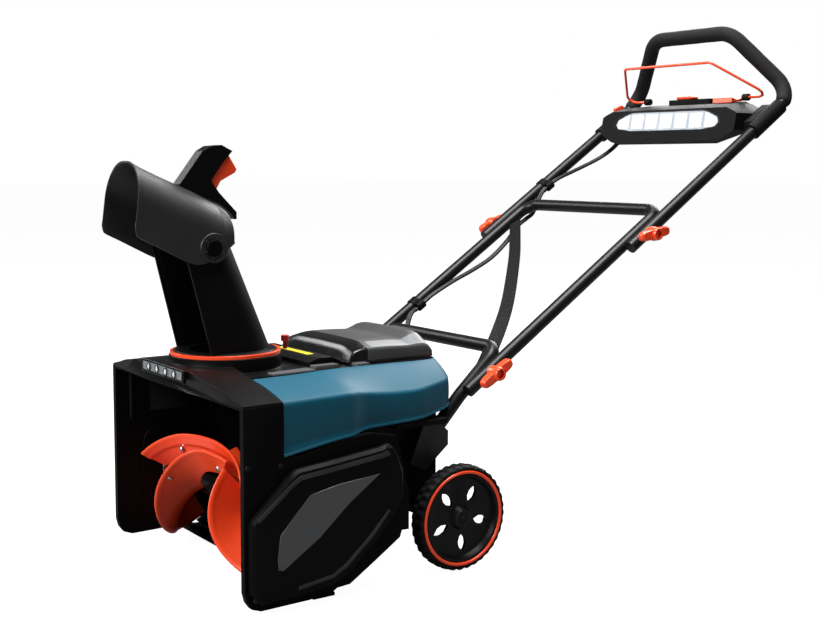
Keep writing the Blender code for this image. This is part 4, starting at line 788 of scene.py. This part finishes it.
def cornered(points, radii, cuts=14):
    """A path whose inner corners are circular arcs that touch both straight runs, with short steps between."""
    points = np.asarray(points, float)
    path = [points[:1]]
    for before, corner, after, radius in zip(points, points[1:], points[2:], radii):
        a, b = unit(before - corner), unit(after - corner)
        half = math.acos(float(a @ b)) / 2
        shorter = min(0.49 * np.linalg.norm(before - corner), 0.49 * np.linalg.norm(after - corner))
        reach = min(radius / math.tan(half), shorter)
        centre = corner + unit(a + b) * (reach / math.cos(half))
        first, last = corner + a * reach - centre, corner + b * reach - centre
        share = np.linspace(0, 1, cuts)[:, None]
        sweep = math.acos(float(unit(first) @ unit(last)))
        arc = np.sin((1 - share) * sweep) * first + np.sin(share * sweep) * last
        path.append(centre + arc / math.sin(sweep))
    path.append(points[-1:])
    return np.concatenate(path)


def even(path, step):
    """The same path read at even distances along its length."""
    path = np.asarray(path, float)
    run = np.concatenate([[0], np.cumsum(np.linalg.norm(np.diff(path, axis=0), axis=1))])
    places = np.linspace(0, run[-1], max(3, int(run[-1] / step)))
    return np.column_stack([np.interp(places, run, path[:, i]) for i in range(3)])


def swept(path, section, side):
    """Closed rings of a flat section carried along a path; its first axis stays as near as it can to the side
    vectors, and its second is the run's cross product with the first. The section may change along the path."""
    path = np.asarray(path, float)
    run = unit(np.gradient(path, axis=0))
    side = np.broadcast_to(np.asarray(side, float), path.shape)
    side = unit(side - run * (side * run).sum(axis=1, keepdims=True))
    normal = np.cross(run, side)
    section = np.broadcast_to(np.asarray(section, float), (len(path),) + np.shape(section)[-2:])
    return path[:, None] + section[..., :1] * side[:, None] + section[..., 1:] * normal[:, None]


def both_sides(points):
    """Points at +X, then the same points at -X in the opposite order."""
    return list(points) + [(-x, y, z) for x, y, z in reversed(list(points))]


def frame_tube(name, corners, radii, body, node):
    """A round tube along a path with rounded corners, as the same circle at even steps."""
    course = even(cornered(corners, radii), TUBE_STEP)
    rings = swept(course, TUBE_RADIUS * circle(24), TUBE_SIDE)
    piece(name, [solid_of(rings)], powder, body, [node], 60)
    return course


LEG = [(LOWER_HALF, 0.385, 0.183), (LOWER_HALF, 0.449, 0.25), (LOWER_HALF, 0.4926, 0.2957),
       (LOWER_HALF, 0.5843, 0.3785)]
MIDDLE = [(MIDDLE_HALF, *on_slope(-0.058)), (MIDDLE_HALF, 0.9851, 0.6328)]
LOOP = [(UPPER_HALF, *on_slope(-0.05, UPPER_KNOB)), (UPPER_HALF, 1.3609, 0.8806), (0.1154, 1.289, 1.017)]
LOOP_RADII = (0.056, 0.06, 0.06, 0.056)
frame_tube("lower_tube", both_sides(LEG), [0.03] * 6, "chassis", "lower_frame")
frame_tube("middle_tube", both_sides(MIDDLE), [0.036] * 2, "middle_section", "middle_frame")
tube_path = frame_tube("upper_tube", both_sides(LOOP), LOOP_RADII, "upper_section", "upper_handle")
for node in ("frame_bracket_left", "frame_bracket_right", "wheel_axle"):
    softened(node, powder, "chassis", 0.0, 2, 60)


def wing(reach, width, angle):
    """Outline of a two-winged knob seen end on: two rounded ends, wider than the middle by a cube law."""
    along, over = (boxy(72, (0.75, 0.55)) * (reach, width)).T
    over = over * (1 + 0.22 * (np.abs(along) / reach) ** 3)
    return np.column_stack([along * math.cos(angle) - over * math.sin(angle),
                            along * math.sin(angle) + over * math.cos(angle)])


KNOB_HUB = ((0.0, 0.0001), (0.0, 0.0135), (0.012, 0.0145), (0.024, 0.0125), (0.0262, 0.0115), (0.0266, 0.01),
            (0.0262, 0.008), (0.02, 0.0075), (0.02, 0.0001))
WING_REACH, WING_WIDTH, WING_DEPTH = 0.0385, 0.0098, 0.016
KNOBS = {
    # side, x where the hub starts, (y, z) of its axis, turn of its wings in degrees
    "lower_knob_left": (1, 0.2191, LOWER_KNOB, 32), "lower_knob_right": (-1, 0.2191, LOWER_KNOB, 32),
    "upper_knob_left": (1, 0.2451, UPPER_KNOB, 10), "upper_knob_right": (-1, 0.2451, UPPER_KNOB, 22),
}
for name, (side, start, (y, z), angle) in KNOBS.items():
    wings = wing(WING_REACH, WING_WIDTH, math.radians(angle)) + (y, z)
    solids = [
        turned([(side * (start + a), r) for a, r in KNOB_HUB], y, z, 48, False),
        slab(wings, side * (start + (0.004 if side > 0 else 0.02)), WING_DEPTH, 0.003),
        dome_screw((side * (start + 0.02), y, z), (side, 0, 0), 0.006, 0.0022, 24),
    ]
    piece(name + "_wing", solids, orange, name, [name], 40)
softened("bail", orange, "bail", 0.0, 2, 75)

# ---------------- control panel
# The black moulding clamped across the handle, with a clear headlight lens over seven reflectors, two pivots
# for the bail, an orange start wedge on a hump, an orange light switch and an orange speed lever.
panel_black = moulded("panel_black", (0.004, 0.004, 0.0043), 0.6, shine=0.1)
softened("control_panel", panel_black, "upper_section", 0.0015, 3)
BAIL_PIVOT = ((0.142, 0.0032), (0.142, 0.007), (0.143, 0.0078), (0.157, 0.0078), (0.158, 0.007),
              (0.158, 0.0032))
pivots = [turned(np.array(BAIL_PIVOT) * (side, 1), 1.307, 0.8748, 28) for side in (1, -1)]
piece("bail_pivots", pivots, panel_black, "upper_section")
LENS_OUTLINE = [
    (-0.158, 0.818), (-0.152, 0.83), (-0.12, 0.843), (-0.105, 0.8455), (0.105, 0.8455), (0.12, 0.843),
    (0.152, 0.83), (0.158, 0.818), (0.148, 0.809), (0.11, 0.803), (-0.11, 0.803), (-0.148, 0.809),
]
LENS_FOOT_Y, LENS_FOOT_Z = 1.2058, 0.8
lens_rim, rim_middle = np.array(LENS_OUTLINE), np.array([0.0, 0.8243])
bezel = []
for share, depth in ((1.035, 0.0), (1.035, -0.0016), (1.004, -0.0016), (1.004, 0.0)):
    ring = rim_middle + (lens_rim - rim_middle) * (share, 1 + (share - 1) * 3)
    y = LENS_FOOT_Y + (ring[:, 1] - LENS_FOOT_Z) * (1.2155 - LENS_FOOT_Y) / 0.048
    bezel.append(np.column_stack([ring[:, 0], y + depth + 0.0004, ring[:, 1]]))
piece("lens_bezel", [solid_of(bezel, loop=True)], panel_black, "upper_section")
reflectors = []
for x in np.linspace(-0.135, 0.135, 7):
    corners = [(x - 0.018, 0.808), (x - 0.018, 0.84), (x + 0.018, 0.84), (x + 0.018, 0.808)]
    rings = []
    for share, depth in ((1, 0.0), (1, -0.0012), (0.86, -0.0016), (0.78, -0.0004)):
        ring = [(x + (u - x) * share, 0.824 + (v - 0.824) * share) for u, v in corners]
        rings.append([(u, LENS_FOOT_Y + (v - LENS_FOOT_Z) * 0.202 + 0.0022 + depth, v) for u, v in ring])
    reflectors.append(solid_of(rings))
piece("headlight_reflectors", reflectors, lamp_white, "upper_section")
for node, radius in (("start_button", 0.001), ("light_switch", 0.001), ("speed_lever", 0.0012)):
    softened(node, orange, node, radius)
cover_clear = glass("headlight_cover", (0.55, 0.6, 0.66), 0.45, 0.1)
softened("headlight_lens", cover_clear, "upper_section", 0.0008)

# ---------------- foam grip
# A soft closed-cell foam sleeve pushed over the handle's loop: fine pitted skin and a slightly wavy surface.
foam = moulded("foam_skin", (0.006, 0.006, 0.0062), 0.75, 1100, 0.0006, 0.35, shine=0.25, rubbed=0)
FOAM_RADIUS, FOAM_START = 0.0166, 0.54
grip_start = int(FOAM_START / TUBE_STEP)
grip_path = tube_path[grip_start:-grip_start]
turn = np.linspace(0, 2 * math.pi, 24, endpoint=False)
run = np.arange(len(grip_path)) * TUBE_STEP
swell = 1 + 0.012 * np.sin(run * 95)[:, None] * np.cos(turn * 2 + run[:, None] * 30)
swell *= (1 - 0.16 * np.exp(-(run / 0.004) ** 2) - 0.16 * np.exp(-((run[-1] - run) / 0.004) ** 2))[:, None]
foam_rings = swept(grip_path, FOAM_RADIUS * swell[..., None] * circle(24), TUBE_SIDE)
foam_sleeve = piece("foam_sleeve", [solid_of(foam_rings)], foam, "upper_section", ["foam_grip"], 80)

# ---------------- cables, clips and strap
# Two thin control cables side by side, clipped along the tubes, and a woven strap hanging between the frames.
jacket = moulded("cable_jacket", (0.0055, 0.0055, 0.0058), 0.4, 1200, 0.00005, 0.3, shine=0.35, rubbed=0)
CABLE_RADIUS = 0.0034
CABLES = {
    "cable_upper": [
        (-0.19, 1.26, 0.796), (-0.192, 1.25, 0.778), (-0.198, 1.225, 0.756), (-0.205, 1.1853, 0.734),
        (-0.211, 1.12, 0.708), (-0.2123, 1.07, 0.6887), (-0.2123, 1.03, 0.6623), (-0.205, 0.995, 0.615),
        (-0.202, 0.975, 0.602), (-0.2, 0.9495, 0.588), (-0.199, 0.933, 0.573),
    ],
    "cable_middle": [
        (-0.1985, 0.9325, 0.5724), (-0.197, 0.9146, 0.5534), (-0.194, 0.8656, 0.5165), (-0.192, 0.8089, 0.4896),
        (-0.19, 0.7534, 0.4678), (-0.1875, 0.6991, 0.443), (-0.1863, 0.676, 0.429), (-0.1863, 0.652, 0.4131),
        (-0.18, 0.6329, 0.402), (-0.165, 0.608, 0.368), (-0.154, 0.57, 0.345), (-0.152, 0.55, 0.338),
    ],
    "cable_lower": [
        (-0.1519, 0.549, 0.3377), (-0.15, 0.53, 0.333), (-0.14, 0.505, 0.324), (-0.13, 0.4825, 0.315),
    ],
}
jacket_circle = CABLE_RADIUS * circle(14)
for node, route in CABLES.items():
    line = even(flowing(route, 160), 0.005)
    pair = [solid_of(swept(line, jacket_circle + (offset, 0), (1, 0, 0))) for offset in (-0.0033, 0.0033)]
    lead = "chassis" if node == "cable_lower" else None
    wire = piece(node + "_pair", pair, jacket, lead, [node], 60)
    if node == "cable_upper":
        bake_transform(wire)
    elif node == "cable_middle":
        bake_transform(wire)

webbing, add, cloth = finish("woven_webbing")
run_across, threads = add("ShaderNodeUVMap"), add("ShaderNodeTexWave")
run_across.uv_map = "run"
threads.wave_type = "BANDS"
fill(threads, {"Vector": run_across.outputs["UV"], "Scale": 90, "Distortion": 1.2, "Detail": 3})
rough, colour, lift = add("ShaderNodeMapRange"), add("ShaderNodeMix"), add("ShaderNodeBump")
colour.data_type = "RGBA"
raised = threads.outputs["Fac"]
fill(colour, {0: raised, 6: (0.0025, 0.0025, 0.0027, 1), 7: (0.0055, 0.0055, 0.006, 1)})
fill(rough, {"Value": raised, "To Min": 0.62, "To Max": 0.88})
fill(lift, {"Height": raised, "Distance": 0.0005})
fill(cloth, {"Base Color": colour.outputs[2], "Roughness": rough.outputs["Result"],
             "Normal": lift.outputs["Normal"], "Specular IOR Level": 0.15})
STRAP_PATH = [
    (-0.185, 0.9253, 0.5947), (-0.144, 0.892, 0.5569), (-0.099, 0.8526, 0.5167), (-0.008, 0.7624, 0.4422),
    (0.06, 0.6842, 0.392), (0.128, 0.5979, 0.3472), (0.159, 0.55, 0.318),
]
STRAP_TURN = (20, 15, 5, -10, -30, -50, -62)
STRAP_HALF, STRAP_STEPS, STRAP_RUN = 0.014, 120, 0.3
band_path = flowing([(*place, roll) for place, roll in zip(STRAP_PATH, STRAP_TURN)], STRAP_STEPS)
roll = np.radians(band_path[:, 3:])
lean = unit(np.array([0.75, 0.6, 0.3]))
places = np.linspace(-STRAP_HALF, STRAP_HALF, 15)
top = 0.0008 + 0.0004 * np.cos(places * 2 * math.pi / 0.007)
weave_section = np.concatenate([np.column_stack([places, top]), np.column_stack([places[::-1], -top[::-1]])])
strap_rings = swept(band_path[:, :3], weave_section, lean * np.cos(roll) + np.array([0, 0, 1]) * np.sin(roll))
strap_band = piece("strap_band", [solid_of(strap_rings)], webbing, None, ["strap"], 60)
run_map = strap_band.data.uv_layers.new(name="run")
corner_points = np.empty(len(strap_band.data.loops), int)
strap_band.data.loops.foreach_get("vertex_index", corner_points)
size = len(weave_section)
run_map.data.foreach_set("uv", np.column_stack([
    (corner_points // size) * STRAP_RUN / STRAP_STEPS,
    np.concatenate([places, places[::-1]])[corner_points % size],
]).ravel().astype(np.float32))
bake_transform(strap_band)
for node, body in (("cable_clip_upper", "upper_section"), ("cable_clip_lower", "middle_section")):
    softened(node, black, body, SMALL_EDGE)

# ---------------- drive behind the covers
# Motor, belt, shaft bearings and control box, hidden in use and seen only through the gaps.
drive_black = moulded("drive_black", (0.012, 0.012, 0.013), 0.4, shine=0.35)
belt_rubber = moulded("belt_rubber", (0.01, 0.01, 0.01), 0.6, 900, 0.0002, 0.3, shine=0.25, rubbed=0)
for node, material, slot, radius in (
    ("control_unit", drive_black, "black_plastic", 0.0008), ("drive_motor", bright_steel, "steel", 0.0006),
    ("drive_belt", belt_rubber, "belt_rubber", 0.0), ("bearing_left", bright_steel, "steel", 0.0004),
    ("bearing_right", bright_steel, "steel", 0.0004),
):
    softened(node, material, "chassis", radius)
